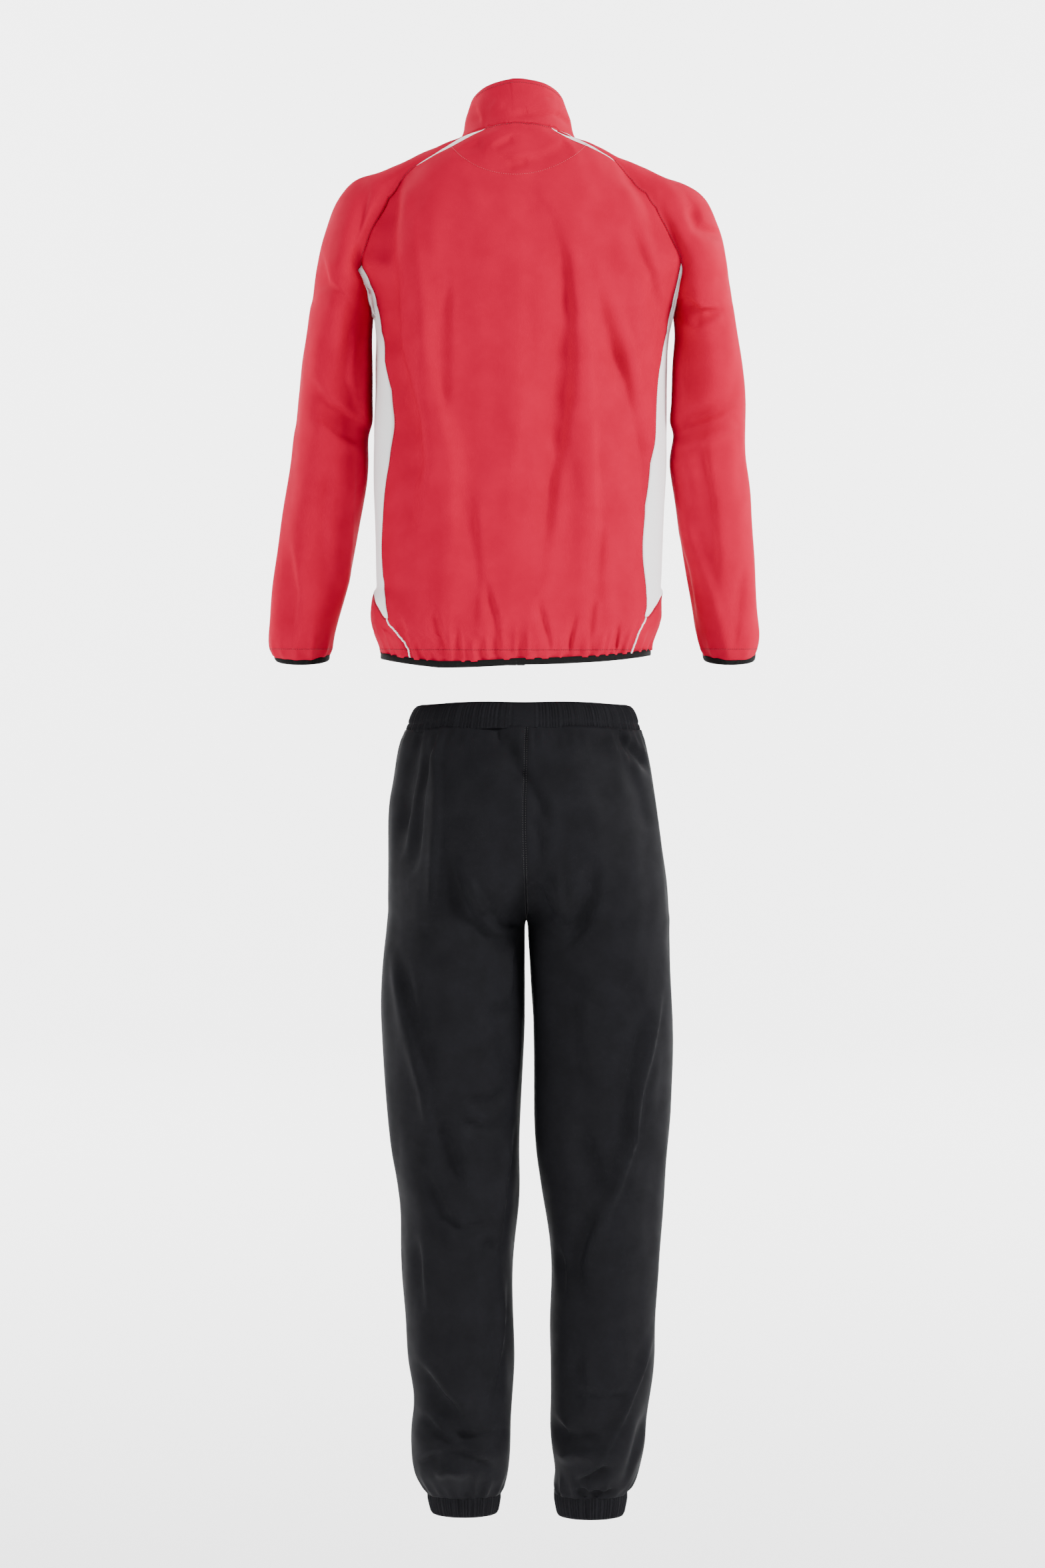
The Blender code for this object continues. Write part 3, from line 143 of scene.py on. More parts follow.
TROUSER_BACK_FOLDS = [
    ([(-124, 770), (-131, 800), (-137, 842), (-145, 896), (-148, 924)], 8, -5.0),
    ([(-104, 783), (-114, 800), (-121, 842), (-126, 896), (-131, 944)], 7, -4.0),
    ([(-95, 773), (-104, 807), (-102, 859), (-105, 944), (-110, 1013)], 7, 4.0),
    ([(-23, 766), (-9, 790), (4, 818), (32, 859), (38, 896)], 14, -4.6),
    ([(-24, 764), (-20, 784)], 5, -3.0),
    ([(21, 876), (32, 910), (32, 937)], 9, -3.0),
    ([(131, 773), (145, 790), (165, 807), (175, 824)], 6, -4.6),
    ([(140, 800), (160, 850), (168, 900)], 12, -2.2),
    ([(-88, 924), (-75, 979), (-51, 1020), (-20, 1050)], 13, -5.6),
    ([(-61, 955), (-44, 992), (-20, 1023), (-3, 1026)], 8, 5.5),
    ([(-40, 996), (-16, 1023)], 7, -4.0),
    ([(102, 937), (97, 979), (83, 1020), (62, 1047)], 12, -5.6),
    ([(52, 944), (56, 985), (62, 1013)], 9, 4.5),
    ([(25, 965), (35, 996), (52, 1006)], 11, -5.0),
    ([(-159, 1057), (-147, 1126), (-119, 1232), (-113, 1270), (-104, 1300)], 7, 4.4),
    ([(-148, 1057), (-134, 1126), (-108, 1225)], 12, -2.6),
    ([(-32, 1122), (-20, 1133), (-6, 1128)], 6, -4.0),
    ([(-1, 1033), (-9, 1068), (-9, 1116)], 5, 3.0),
    ([(-23, 1160), (-9, 1198), (0, 1218)], 9, -3.2),
    ([(186, 1116), (172, 1184), (158, 1239), (151, 1300), (132, 1359), (110, 1410)], 7, 5.5),
    ([(166, 1130), (150, 1200), (136, 1270), (118, 1340)], 12, -2.8),
    ([(73, 1081), (73, 1184), (83, 1239)], 20, -3.0),
    ([(-98, 1269), (-82, 1320), (-71, 1363)], 13, -5.6),
    ([(-116, 1343), (-94, 1394), (-71, 1413), (-32, 1402)], 9, -5.0),
    ([(-43, 1433), (-26, 1435)], 7, -4.4),
    ([(-67, 1242), (-32, 1250), (-16, 1234)], 7, -4.0),
    ([(-71, 1269), (-43, 1285), (-20, 1281)], 8, -4.4),
    ([(-6, 1281), (-16, 1367), (-24, 1441)], 5, 3.0),
    ([(-16, 1484), (-20, 1562), (-36, 1640)], 5, 2.8),
    ([(-129, 1429), (-125, 1484), (-121, 1519)], 7, -3.0),
    ([(-129, 1593), (-98, 1632), (-71, 1659)], 11, -6.0),
    ([(-79, 1678), (-51, 1684), (-24, 1678)], 8, -6.0),
    ([(-121, 1659), (-98, 1682), (-82, 1694)], 8, -4.6),
    ([(-129, 1724), (-102, 1706), (-71, 1702), (-40, 1717), (-28, 1733)], 8, -5.6),
    ([(-106, 1735), (-86, 1723), (-59, 1729)], 10, 5.0),
    ([(85, 1289), (101, 1340), (108, 1363)], 15, -5.0),
    ([(101, 1382), (81, 1437), (77, 1460), (85, 1484)], 11, -5.6),
    ([(54, 1440), (58, 1460), (62, 1499)], 7, -2.4),
    ([(179, 1554), (159, 1608), (132, 1671), (108, 1717)], 5, 3.2),
    ([(85, 1624), (116, 1632), (143, 1628)], 9, -4.6),
    ([(81, 1573), (85, 1620), (81, 1647)], 9, -3.0),
    ([(50, 1667), (62, 1682), (85, 1684), (110, 1684)], 9, -6.0),
    ([(54, 1712), (78, 1702), (108, 1706)], 9, 4.0),
    ([(81, 1745), (101, 1733), (120, 1721)], 6, -4.6),
    ([(77, 1756), (112, 1760), (124, 1756)], 5, -3.6),
    ([(171, 1659), (155, 1710), (140, 1749)], 7, -4.0),
]
TROUSER_FRONT_FOLDS = [
    ([(-120, 776), (-128, 830), (-134, 900)], 8, -4.4),
    ([(-70, 780), (-76, 850), (-84, 930)], 10, 3.4),
    ([(-30, 780), (-22, 820), (0, 870)], 11, -4.0),
    ([(64, 782), (72, 850), (86, 940)], 10, 3.2),
    ([(134, 780), (144, 834), (150, 910)], 8, -4.4),
    ([(-6, 980), (-52, 1020), (-112, 1046)], 12, -5.5),
    ([(-8, 1012), (-60, 1066), (-128, 1084)], 10, 4.4),
    ([(30, 980), (76, 1024), (136, 1048)], 12, -5.5),
    ([(32, 1014), (88, 1068), (152, 1082)], 10, 4.4),
    ([(-60, 1110), (-78, 1200), (-84, 1300)], 12, 3.4),
    ([(104, 1120), (118, 1210), (120, 1310)], 12, 3.4),
    ([(-134, 1384), (-88, 1412), (-30, 1396)], 12, -5.5),
    ([(-130, 1430), (-80, 1452), (-34, 1436)], 10, 4.6),
    ([(60, 1392), (108, 1418), (160, 1396)], 12, -5.5),
    ([(62, 1440), (112, 1462), (156, 1442)], 10, 4.6),
    ([(-58, 1490), (-72, 1560), (-66, 1630)], 10, 3.2),
    ([(104, 1490), (120, 1570), (112, 1640)], 10, 3.2),
    ([(-126, 1640), (-84, 1668), (-32, 1650)], 10, -6.5),
    ([(-120, 1690), (-76, 1708), (-30, 1694)], 9, 5.0),
    ([(-110, 1728), (-72, 1738), (-34, 1728)], 7, -4.6),
    ([(64, 1650), (108, 1676), (156, 1652)], 10, -6.5),
    ([(62, 1700), (106, 1716), (146, 1700)], 9, 5.0),
    ([(68, 1734), (104, 1744), (136, 1732)], 7, -4.6),
]
JACKET_FOLD_STRENGTH = 2.0
TROUSER_FOLD_STRENGTH = 2.1
FRONT_FOLD_STRENGTH = 1.3
# How a fold leans, how far round the sides it reaches, how it fades at its ends, and the shallow
# hollow along its flanks
FOLD_LEAN = 0.4
LEAN_WIDTH = 0.3
FOLD_SIDES = 0.42
FOLD_FADE = 0.1
FADE_LENGTH = 0.35
FLANK_DEPTH = 0.28
FLANK_WIDTH = 2.1
FOLD_REACH = 4

# Gathers: even spacing, longest length and height, and the level of the edge they start from
HEM_GATHERS = {"pitch": 19.0, "longest": 78.0, "height": 2.7, "edge": 676.0}
WRIST_GATHERS = {"pitch": 21.0, "longest": 72.0, "height": 2.2, "edge": 671.0}
WAIST_GATHERS = {"pitch": 15.0, "longest": 60.0, "height": 2.4, "edge": 766.0}
ANKLE_GATHERS = {"pitch": 17.0, "longest": 62.0, "height": 3.4, "edge": 1768.0}
GATHER_START = 9.0
# Where they run: the middle of the edge, its mean radius, and a seed
HEM_EDGE = ((0, 0), 160, 2.0)
WRIST_EDGES = {"left": ((-282, 34), 38, 0.6), "right": ((280, 34), 36, 2.9)}
WAIST_EDGE = ((8, 0), 128, 1.1)
ANKLE_EDGES = {"left": ((-68, 1), 46, 0.4), "right": ((97, 1), 46, 2.2)}
NEAR_EDGE = 2.2

# How the jacket's hem and cuffs hang lower or higher than even, and how far up that reaches
HEM_SWAY = ((-180, -1.5), (-100, -3.0), (0, 4.0), (75, 4.5), (180, 3.0))
CUFF_SAG = 7.0
COLLAR_DROP = 5.0
COLLAR_HIGH = 85.0
CUFF_DEPTH = 38.0
SWAY_FROM = 590.0
SWAY_TO = 672.0
SLEEVE_APART = 215.0
WAIST_SIDE_LIFT = 6.0
WAIST_LIFT_REACH = 80.0

# Uneven surface of slack cloth: wave lengths across and down, and height
SLACK = ((74.0, 210.0, 1.1), (38.0, 120.0, 0.45))

# Elastic bands: rows as in the frame, from the top: down, x, y, half width, depth behind, before
WAISTBAND = (
    (729.0, 9.5, 0, 133, 91, 79), (731.0, 9.5, 0, 138, 94, 82), (735.0, 9.4, 0, 142, 95.5, 83.5),
    (741.0, 9.3, 0, 145, 97, 85), (752.5, 9.0, 0, 149, 99, 87), (765.0, 8.6, 0, 152.5, 101, 89),
)
ANKLE_LEFT = ((1765.0, -69, 1, 47.5, 45.5, 45.5), (1794, -68, 2, 42, 41, 41))
ANKLE_RIGHT = ((1765.0, 97, 1, 47.5, 45.5, 45.5), (1797, 97, 2, 42, 41, 41))
WAIST_SIDE_DIP = 14.0
WAIST_FRONT_DIP = 10.0
WAIST_JOIN = 12.0
JOIN_DIP = 2.6
CHANNEL_SHARE = 0.68
ANKLE_CHANNEL = 0.14
BAND_WALL = 1.6
BAND_BULGE = 1.0
CHANNEL_DEPTH = 0.9
CHANNEL_NARROW = 18
CHANNEL_PLAIN = 22
BAND_EDGE = 0.08
JOIN_FADE = 3.0
JOIN_SPREAD = 0.35
RIB_PITCH = 3.8
RIB_HEIGHT = 0.8
ANKLE_RIB_HEIGHT = 0.88
RIB_DRIFT = 2.4
RIB_DRIFT_SCALE = 0.45

# Sewing and zip
HALF_MOON = ((-84, 13), (-65, 34), (-33, 47), (5, 53), (42, 45), (75, 26), (90, 10))
LINE_LIFT = 0.1
CURVE_STEPS = 40
CURVE_POWER = 4
SEW_AWAY = 1.8
HEM_SEW_LEVEL = 664.0
CUFF_SEW_LEVEL = 664.0
COLLAR_TOP_FROM = 60.0
COLLAR_SEW_DOWN = 6.0
LINE_BREAK = 12.0
STITCH_LENGTH = 2.3
STITCH_PITCH = 3.0
THREAD = 0.55
PIPING_HALF = 1.3
PIPING_LIFT = 0.4
CORD_ROUNDNESS = 2
COIL_PITCH = 1.5
COIL_HALF = 2.6
COIL_WIRE = 0.5
COIL_FLATNESS = 1.6
COIL_STEP = 4
COIL_NEAR = 12
TAPE_ROUND, SLIDER_ROUND, PULL_ROUND = 0.15, 0.5, 0.4

# Cloth patterns: how far apart loops are and how deep, and the lustre's spread
KNIT_PITCH = 1.5
KNIT_DEPTH = 0.05
YARN_DEPTH = 0.25
SHEEN_ROUGHNESS = 0.4

# Camera and studio
PHOTO_WIDE, PHOTO_HIGH = 1568, 2352
SCALE = 0.873
PHOTO_X, PHOTO_DOWN = 775, 213
CAMERA_AWAY = 6.0
FLOOR_LEVEL = -2.15
FLOOR_REACH = 40.0
WALL_FROM = 10.5
SWEEP = 2.5
WALL_TOP = 12.0
SWEEP_STEPS = 12
EYE_DOWN = 620
SENSOR = 36.0
WORLD_STRENGTH = 0.35
# Soft lamps: name, place, what it points at, size and power
GARMENT_AIM = (0, 0, -0.85)
FLOOR_AIM = (0, 6.0, FLOOR_LEVEL)
WALL_AIM = (0, 13.0, 0)
LAMPS = (
    ("key", (3.4, -2.2, 1.2), GARMENT_AIM, 1.3, 320.0),
    ("fill", (-3.4, -2.6, 0.4), GARMENT_AIM, 2.0, 150.0),
    ("floor_left", (-4.2, 3.0, 2.6), FLOOR_AIM, 3.0, 800.0),
    ("floor_right", (4.2, 3.0, 2.6), FLOOR_AIM, 3.0, 800.0),
    ("wall_left", (-5.5, 7.5, 3.0), WALL_AIM, 3.0, 1300.0),
    ("wall_right", (5.5, 7.5, 3.0), WALL_AIM, 3.0, 1300.0),
)


def smooth(t):
    t = np.clip(t, 0, 1)
    return t * t * (3 - 2 * t)


def linear(hex_colour):
    """An sRGB hex colour as linear RGBA."""
    parts = [int(hex_colour[i : i + 2], 16) / 255 for i in (1, 3, 5)]
    return tuple(c / 12.92 if c <= 0.04045 else ((c + 0.055) / 1.055) ** 2.4 for c in parts) + (1.0,)


def add_node(tree, kind, inputs=None, **settings):
    """Adds a node. Each input is a value, or another node's output to link."""
    node = tree.nodes.new(kind)
    for name, value in settings.items():
        setattr(node, name, value)
    for name, value in (inputs or {}).items():
        if isinstance(value, bpy.types.NodeSocket):
            tree.links.new(value, node.inputs[name])
        else:
            node.inputs[name].default_value = value
    return node


def maths(tree, operation, *values):
    """The output of a maths node on the given values or outputs."""
    return add_node(tree, "ShaderNodeMath", dict(enumerate(values)), operation=operation).outputs[0]


def in_scene(name, data):
    """An object with this data, linked to the scene."""
    obj = bpy.data.objects.new(name, data)
    bpy.context.scene.collection.objects.link(obj)
    return obj


def evaluated_mesh(obj):
    """The mesh that an object's modifiers or curve give."""
    return bpy.data.meshes.new_from_object(obj.evaluated_get(bpy.context.evaluated_depsgraph_get()))


def new_material(name, roughness, metallic=0.0):
    material = bpy.data.materials.new(name)
    material.use_nodes = True
    shader = material.node_tree.nodes["Principled BSDF"]
    shader.inputs["Roughness"].default_value = roughness
    shader.inputs["Metallic"].default_value = metallic
    return material, material.node_tree, shader


def set_colour(tree, shader, pattern, first, second):
    """Mixes two hex colours by a pattern."""
    mixed = add_node(
        tree, "ShaderNodeMix", {"Factor": pattern, "A": linear(first), "B": linear(second)}, data_type="RGBA"
    )
    tree.links.new(mixed.outputs[2], shader.inputs["Base Color"])


def set_bump(tree, shader, pattern, strength, depth):
    """Raises the surface by a pattern, its depth in millimetres."""
    bump = add_node(tree, "ShaderNodeBump", {"Height": pattern, "Strength": strength, "Distance": depth * MM})
    tree.links.new(bump.outputs["Normal"], shader.inputs["Normal"])


def yarn_waves(tree, across, pitch, inputs):
    """A wave over the cloth's own coordinates, once for every pitch in millimetres."""
    cloth = add_node(tree, "ShaderNodeUVMap", uv_map="cloth")
    given = {"Vector": cloth.outputs["UV"], "Scale": 2 * math.pi / (20 * pitch * MM), **inputs}
    return add_node(tree, "ShaderNodeTexWave", given, bands_direction=across).outputs["Fac"]


def knit_cloth(name, colour, shade, roughness, shine, sheen=0.0):
    """Polyester interlock: fine upright wales, pressed smooth, with a soft satin lustre.

    The real knit has a wale every 0.8 mm. It is drawn about twice as coarse so that it shows.
    """
    material, tree, shader = new_material(name, roughness)
    shader.inputs["Sheen Weight"].default_value = sheen
    shader.inputs["Sheen Roughness"].default_value = SHEEN_ROUGHNESS
    shader.inputs["Specular IOR Level"].default_value = shine
    wales = yarn_waves(tree, "X", KNIT_PITCH, {"Distortion": 0.6, "Detail": 1.0, "Detail Scale": 2.0})
    courses = yarn_waves(tree, "Y", KNIT_PITCH, {"Distortion": 0.4})
    place = add_node(tree, "ShaderNodeTexCoord")
    dye = add_node(
        tree, "ShaderNodeTexNoise",
        {"Vector": place.outputs["Object"], "Scale": 26.0, "Detail": 3.0, "Roughness": 0.55},
    ).outputs["Fac"]
    tone = add_node(
        tree, "ShaderNodeMapRange",
        {"Value": dye, "From Min": 0.35, "From Max": 0.7, "To Min": 0.0, "To Max": 0.5},
    )
    set_colour(tree, shader, tone.outputs["Result"], colour, shade)
    lustre = add_node(
        tree, "ShaderNodeMapRange",
        {"Value": dye, "From Min": 0.3, "From Max": 0.7,
         "To Min": roughness - 0.04, "To Max": roughness + 0.05},
    )
    tree.links.new(lustre.outputs["Result"], shader.inputs["Roughness"])
    set_bump(tree, shader, maths(tree, "ADD", wales, courses), 0.35, KNIT_DEPTH)
    return material


def woven_elastic(name, colour, shade, pitch, roughness=0.8):
    """Woven elastic: matt yarn ridges across the band, its colour darker in the grooves between them."""
    material, tree, shader = new_material(name, roughness)
    shader.inputs["Specular IOR Level"].default_value = 0.15
    ridges = yarn_waves(tree, "X", pitch, {"Distortion": 0.8})
    set_colour(tree, shader, ridges, shade, colour)
    set_bump(tree, shader, ridges, 0.5, YARN_DEPTH)
    return material


def speckled(name, colour, shade, grain, roughness, metallic=0.0, depth=0.02):
    """A plain hard or spun finish with a fine grain in its colour and surface."""
    material, tree, shader = new_material(name, roughness, metallic)
    place = add_node(tree, "ShaderNodeTexCoord")
    noise = add_node(
        tree, "ShaderNodeTexNoise",
        {"Vector": place.outputs["Object"], "Scale": 1 / (grain * MM), "Detail": 2.0},
    ).outputs["Fac"]
    set_colour(tree, shader, noise, colour, shade)
    set_bump(tree, shader, noise, 0.3, depth)
    return material


# The jacket's cloth: deep matt crimson, its knit no more than a faint upright grain
RED_CLOTH = knit_cloth("red_polyester_interlock", "#B4002F", "#A40029", 0.74, 0.03)
# The side panels, inserts and piping: clean white with a little soft lustre
WHITE_CLOTH = knit_cloth("white_polyester_interlock", "#FCFDFD", "#F6F7F8", 0.6, 0.2, 0.05)
# The trousers' cloth: near black and matt, so that folds show in soft greys
BLACK_CLOTH = knit_cloth("black_polyester_interlock", "#17171A", "#101012", 0.72, 0.05)
# The bindings: blacker and duller than the cloth, with fine ridges across the band
ELASTIC = woven_elastic("black_woven_elastic", "#121212", "#080808", 1.6)
# The zip's tapes: a fine woven grain in a slightly greyer black
TAPE = woven_elastic("black_woven_zip_tape", "#161618", "#0B0B0C", 1.2, 0.7)
# The jacket's seams: thin rows of thread painted darker than the red beside them, painted shade standing in
# for the seams' shadow
SEAM_THREAD_PAINTED_SHADE = speckled("red_thread_painted_seam_shade", "#7A0A1E", "#5E0816", 0.4, 0.6)
# The half moon below the collar: a thin line of thread painted brighter than the red beside it, a painted
# highlight along the stitching
HALF_MOON_THREAD_PAINTED_HIGHLIGHT = speckled("red_thread_painted_highlight", "#C82A44", "#B01C36", 0.4, 0.6)
# The trousers' seams: rows that only just part from the cloth
BLACK_THREAD = speckled("black_spun_polyester_thread", "#141416", "#0C0C0E", 0.4, 0.7)
# The zip's coil: smooth plastic with small highlights on its turns
NYLON = speckled("black_moulded_nylon_coil", "#1A1A1B", "#131314", 0.6, 0.4)
# The slider and pull: the glossiest black, with a faint glint of metal
ENAMEL = speckled("black_enamelled_zinc", "#232325", "#1A1A1C", 1.0, 0.3, 0.6, 0.01)


def outward_wall(name, thick=FRAME_WALL):
    """Corners and triangles of a node's wall that face out. Its rim's faces are those with an edge
    as long as the wall is thick, and what they part is the outward and the inward side."""
    bm = bmesh.new()
    bm.from_mesh(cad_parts[name].data)
    bmesh.ops.remove_doubles(bm, verts=bm.verts, dist=MERGE * MM)
    rim = {
        face for edge in bm.edges if abs(edge.calc_length() / MM - thick) < RIM_SLACK
        for face in edge.link_faces
    }
    level = sum(v.co.z for v in bm.verts) / len(bm.verts)
    unseen = set(bm.faces) - rim
    best, best_flow = None, 0.0
    for first in bm.faces:
        if first not in unseen:
            continue
        unseen.discard(first)
        stretch = [first]
        flow = 0.0
        for face in stretch:
            flow += face.calc_area() * face.normal.dot(face.calc_center_median() - Vector((0, 0, level)))
            for edge in face.edges:
                for other in edge.link_faces:
                    if other in unseen:
                        unseen.discard(other)
                        stretch.append(other)
        if flow > best_flow:
            best, best_flow = stretch, flow
    # Numbered in the order they are met, so that every run gives the same mesh
    met = dict.fromkeys(v for face in best for v in face.verts)
    corners = {v: k for k, v in enumerate(met)}
    places = [v.co / MM for v in corners]
    faces = [[corners[v] for v in face.verts] for face in best]
    bm.free()
    return places, faces


def joined_walls(names, thick=FRAME_WALL):
    """One mesh of the walls of the named nodes, joined at their seams. A face's material index is
    its piece's place in the names."""
    bm = bmesh.new()
    for k, name in enumerate(names):
        places, faces = outward_wall(name, thick)
        corners = [bm.verts.new(place) for place in places]
        for face in faces:
            made = bm.faces.new([corners[i] for i in face])
            made.material_index = k
    for reach in (WELD, TIP_WELD):
        edge_corners = [v for v in bm.verts if v.is_boundary]
        bmesh.ops.remove_doubles(bm, verts=edge_corners, dist=reach)
    bmesh.ops.join_triangles(
        bm, faces=bm.faces, cmp_materials=True,
        angle_face_threshold=math.radians(QUAD_ANGLE), angle_shape_threshold=math.radians(QUAD_SHAPE),
    )
    mesh = bpy.data.meshes.new("walls")
    bm.to_mesh(mesh)
    bm.free()
    for _ in names:
        mesh.materials.append(None)
    return mesh


def subdivided(mesh, levels):
    obj = in_scene("walls", mesh)
    finer = obj.modifiers.new("finer", "SUBSURF")
    finer.levels = finer.render_levels = levels
    finer.boundary_smooth = "PRESERVE_CORNERS"
    result = evaluated_mesh(obj)
    bpy.data.objects.remove(obj)
    return result


def places_of(mesh):
    places = np.zeros(len(mesh.vertices) * 3)
    mesh.vertices.foreach_get("co", places)
    return places.reshape(-1, 3)


def fitted(mesh):
    """Moves the corners so that the subdivided surface passes through where they were."""
    wanted = places_of(mesh)
    corners = wanted.copy()
    for _ in range(FIT_ROUNDS):
        reached = places_of(subdivided(mesh, 1))[: len(wanted)]
        corners += wanted - reached
        mesh.vertices.foreach_set("co", corners.ravel())
        mesh.update()
    return mesh


class Surface:
    """A garment's fine surface: places, quads, the piece of each quad, and the normals."""

    def __init__(self, names, walls, levels):
        self.names = names
        mesh = subdivided(walls, levels)
        self.places = places_of(mesh)
        self.quads = np.array([list(p.vertices) for p in mesh.polygons])
        self.piece = np.array([p.material_index for p in mesh.polygons])
        self.find_edges()
        self.find_normals()

    def find_edges(self):
        """Edges of one face, and edges between two pieces, as pairs of corners."""
        start = self.quads.reshape(-1)
        end = np.roll(self.quads, -1, axis=1).reshape(-1)
        face = np.repeat(np.arange(len(self.quads)), 4)
        key = np.minimum(start, end) * len(self.places) + np.maximum(start, end)
        order = np.argsort(key, kind="stable")
        key, start, end, face = key[order], start[order], end[order], face[order]
        same = np.concatenate([key[1:] == key[:-1], [False]])
        after = np.concatenate([[False], same[:-1]])
        single = ~same & ~after
        self.open_edges = np.column_stack([start[single], end[single], face[single]])
        first = np.flatnonzero(same)
        parted = self.piece[face[first]] != self.piece[face[first + 1]]
        first = first[parted]
        self.seams = np.column_stack([start[first], end[first], face[first], face[first + 1]])

    def find_normals(self):
        a, b, c, d = (self.places[self.quads[:, k]] for k in range(4))
        across = np.cross(c - a, d - b)
        total = np.zeros_like(self.places)
        for k in range(4):
            np.add.at(total, self.quads[:, k], across)
        self.normals = total / np.maximum(np.linalg.norm(total, axis=1), 1e-9)[:, None]

    def piece_weight(self, names):
        """1 at the corners of the named pieces, 0 elsewhere."""
        chosen = np.isin(self.piece, [self.names.index(name) for name in names])
        weight = np.zeros(len(self.places))
        weight[self.quads[chosen].ravel()] = 1.0
        return weight

    def raise_by(self, height):
        self.places += self.normals * height[:, None]
        self.find_normals()

    def seam_path(self, one, other):
        """Corners in order along the longest seam between two pieces."""
        pair = {self.names.index(one), self.names.index(other)}
        edges = [(s, e) for s, e, f, g in self.seams if {self.piece[f], self.piece[g]} == pair]
        beside = {}
        for s, e in edges:
            beside.setdefault(s, []).append(e)
            beside.setdefault(e, []).append(s)
        paths = []
        unseen = set(beside)
        while unseen:
            ends = [i for i in unseen if len(beside[i]) == 1]
            at = min(ends or unseen)
            path = [at]
            unseen.discard(at)
            while True:
                onward = [i for i in beside[path[-1]] if i in unseen]
                if not onward:
                    break
                path.append(onward[0])
                unseen.discard(onward[0])
            if not ends and len(path) > 2:
                path.append(path[0])
            paths.append(path)
        return max(paths, key=len, default=[])

    def open_top(self):
        """The corners of an upright strip that lie on its upper edge."""
        top = np.zeros(len(self.places), bool)
        for start, end, face in self.open_edges:
            level = self.places[self.quads[face], 2].mean()
            if min(self.places[start, 2], self.places[end, 2]) > level:
                top[[start, end]] = True
        return top

    def tree(self):
        return BVHTree.FromPolygons(self.places.tolist(), self.quads.tolist())


def fold_height(places, route, width, depth):
    """Height of one fold at each place, seen along Y: a crest or trough, steeper on one flank."""
    flat = np.column_stack([places[:, 0], -places[:, 2]])
    corners = np.array(route, float)
    lengths = np.linalg.norm(np.diff(corners, axis=0), axis=1)
    starts = np.concatenate([[0], np.cumsum(lengths)])
    nearest = np.full(len(flat), 1e9)
    along = np.zeros(len(flat))
    lean = np.zeros(len(flat))
    for a, b, length, start in zip(corners, corners[1:], lengths, starts):
        t = np.clip((flat - a) @ (b - a) / length**2, 0, 1)
        away = flat - a - t[:, None] * (b - a)
        gap = np.linalg.norm(away, axis=1)
        side = ((b - a)[0] * away[:, 1] - (b - a)[1] * away[:, 0]) / length
        closer = gap < nearest
        nearest = np.where(closer, gap, nearest)
        along = np.where(closer, start + t * length, along)
        lean = np.where(closer, np.tanh(side / (LEAN_WIDTH * width)), lean)
    share = along / starts[-1]
    fade = smooth((share + FOLD_FADE) / FADE_LENGTH) * smooth((1 + FOLD_FADE - share) / FADE_LENGTH)
    uneven = 1 + 0.18 * np.sin(along * 0.045 + width) + 0.12 * np.sin(along * 0.11 + depth)
    reach = nearest / (width * (1 + FOLD_LEAN * lean) * (1 + 0.15 * np.sin(along * 0.03 + depth)))
    flanks = FLANK_DEPTH * np.exp(-((reach / FLANK_WIDTH) ** 2))
    return depth * fade * uneven * (np.exp(-(reach**2)) - flanks)


def add_folds(surface, folds, side, names, strength=JACKET_FOLD_STRENGTH):
    """Raises the folds on the corners of the named pieces that face to one side along Y."""
    facing = smooth(side * surface.normals[:, 1] / FOLD_SIDES) * surface.piece_weight(names)
    height = np.zeros(len(surface.places))
    for route, width, depth in folds:
        low = np.min(route, axis=0) - FOLD_REACH * width
        high = np.max(route, axis=0) + FOLD_REACH * width
        near = facing > 0
        for axis, values in enumerate((surface.places[:, 0], -surface.places[:, 2])):
            near &= (values > low[axis]) & (values < high[axis])
        height[near] += fold_height(surface.places[near], route, width, depth)
    surface.raise_by(height * facing * strength)


def add_slack(surface, seed):
    """Long shallow waves, so that no stretch of cloth is quite even."""
    x, y, down = surface.places[:, 0], surface.places[:, 1], -surface.places[:, 2]
    height = np.zeros(len(x))
    for k, (across, along, rise) in enumerate(SLACK):
        turn = seed + 1.7 * k
        wander = 0.8 * np.sin(down / along * 2.3 + turn) + 0.5 * np.sin(down / along * 5.1 + 2 * turn)
        wave = np.sin((x + 0.7 * y) / across * 2 * math.pi + wander * 2)
        wave += np.sin((x - 0.8 * y) / across * 1.63 * math.pi + down / along + 3 * turn)
        height += rise * 0.5 * wave
    surface.raise_by(height)


def gather_height(around, above, pitch, longest, height, seed):
    """Short uneven pleats. `around` is the way round the edge and `above` the distance from it."""
    drift = 1.9 * np.sin(around / pitch * 0.41 + seed) + 1.1 * np.sin(around / pitch * 0.93 + 2.3 * seed)
    phase = around / pitch * 2 * math.pi + drift
    uneven = 0.62 + 0.22 * np.sin(around / pitch * 1.31 + seed) + 0.16 * np.sin(around / pitch * 2.2)
    length = longest * uneven
    depth = height * (0.7 + 0.3 * np.sin(around / pitch * 0.77 + 1.3 * seed))
    fade = np.clip(1 - above / length, 0, 1) ** 1.4 * (0.25 + 0.75 * smooth(above / GATHER_START))
    crest = np.cos(phase) + 0.25 * np.cos(2 * phase)
    return depth * fade * crest


def add_gathers(surface, names, edge_place, sizes, downwards=True, edge_of=None):
    """Gathers on the named pieces, round an edge with a middle, a mean radius and a seed."""
    middle, radius, seed = edge_place
    x, y = surface.places[:, 0] - middle[0], surface.places[:, 1] - middle[1]
    angle = np.arctan2(x, -y)
    edge = sizes["edge"] if edge_of is None else edge_of(angle)
    above = (edge + surface.places[:, 2]) * (1 if downwards else -1)
    above = np.maximum(above, 0)
    height = gather_height(angle * radius, above, sizes["pitch"], sizes["longest"], sizes["height"], seed)
    near = np.hypot(x, y) < NEAR_EDGE * radius
    surface.raise_by(height * surface.piece_weight(names) * near)


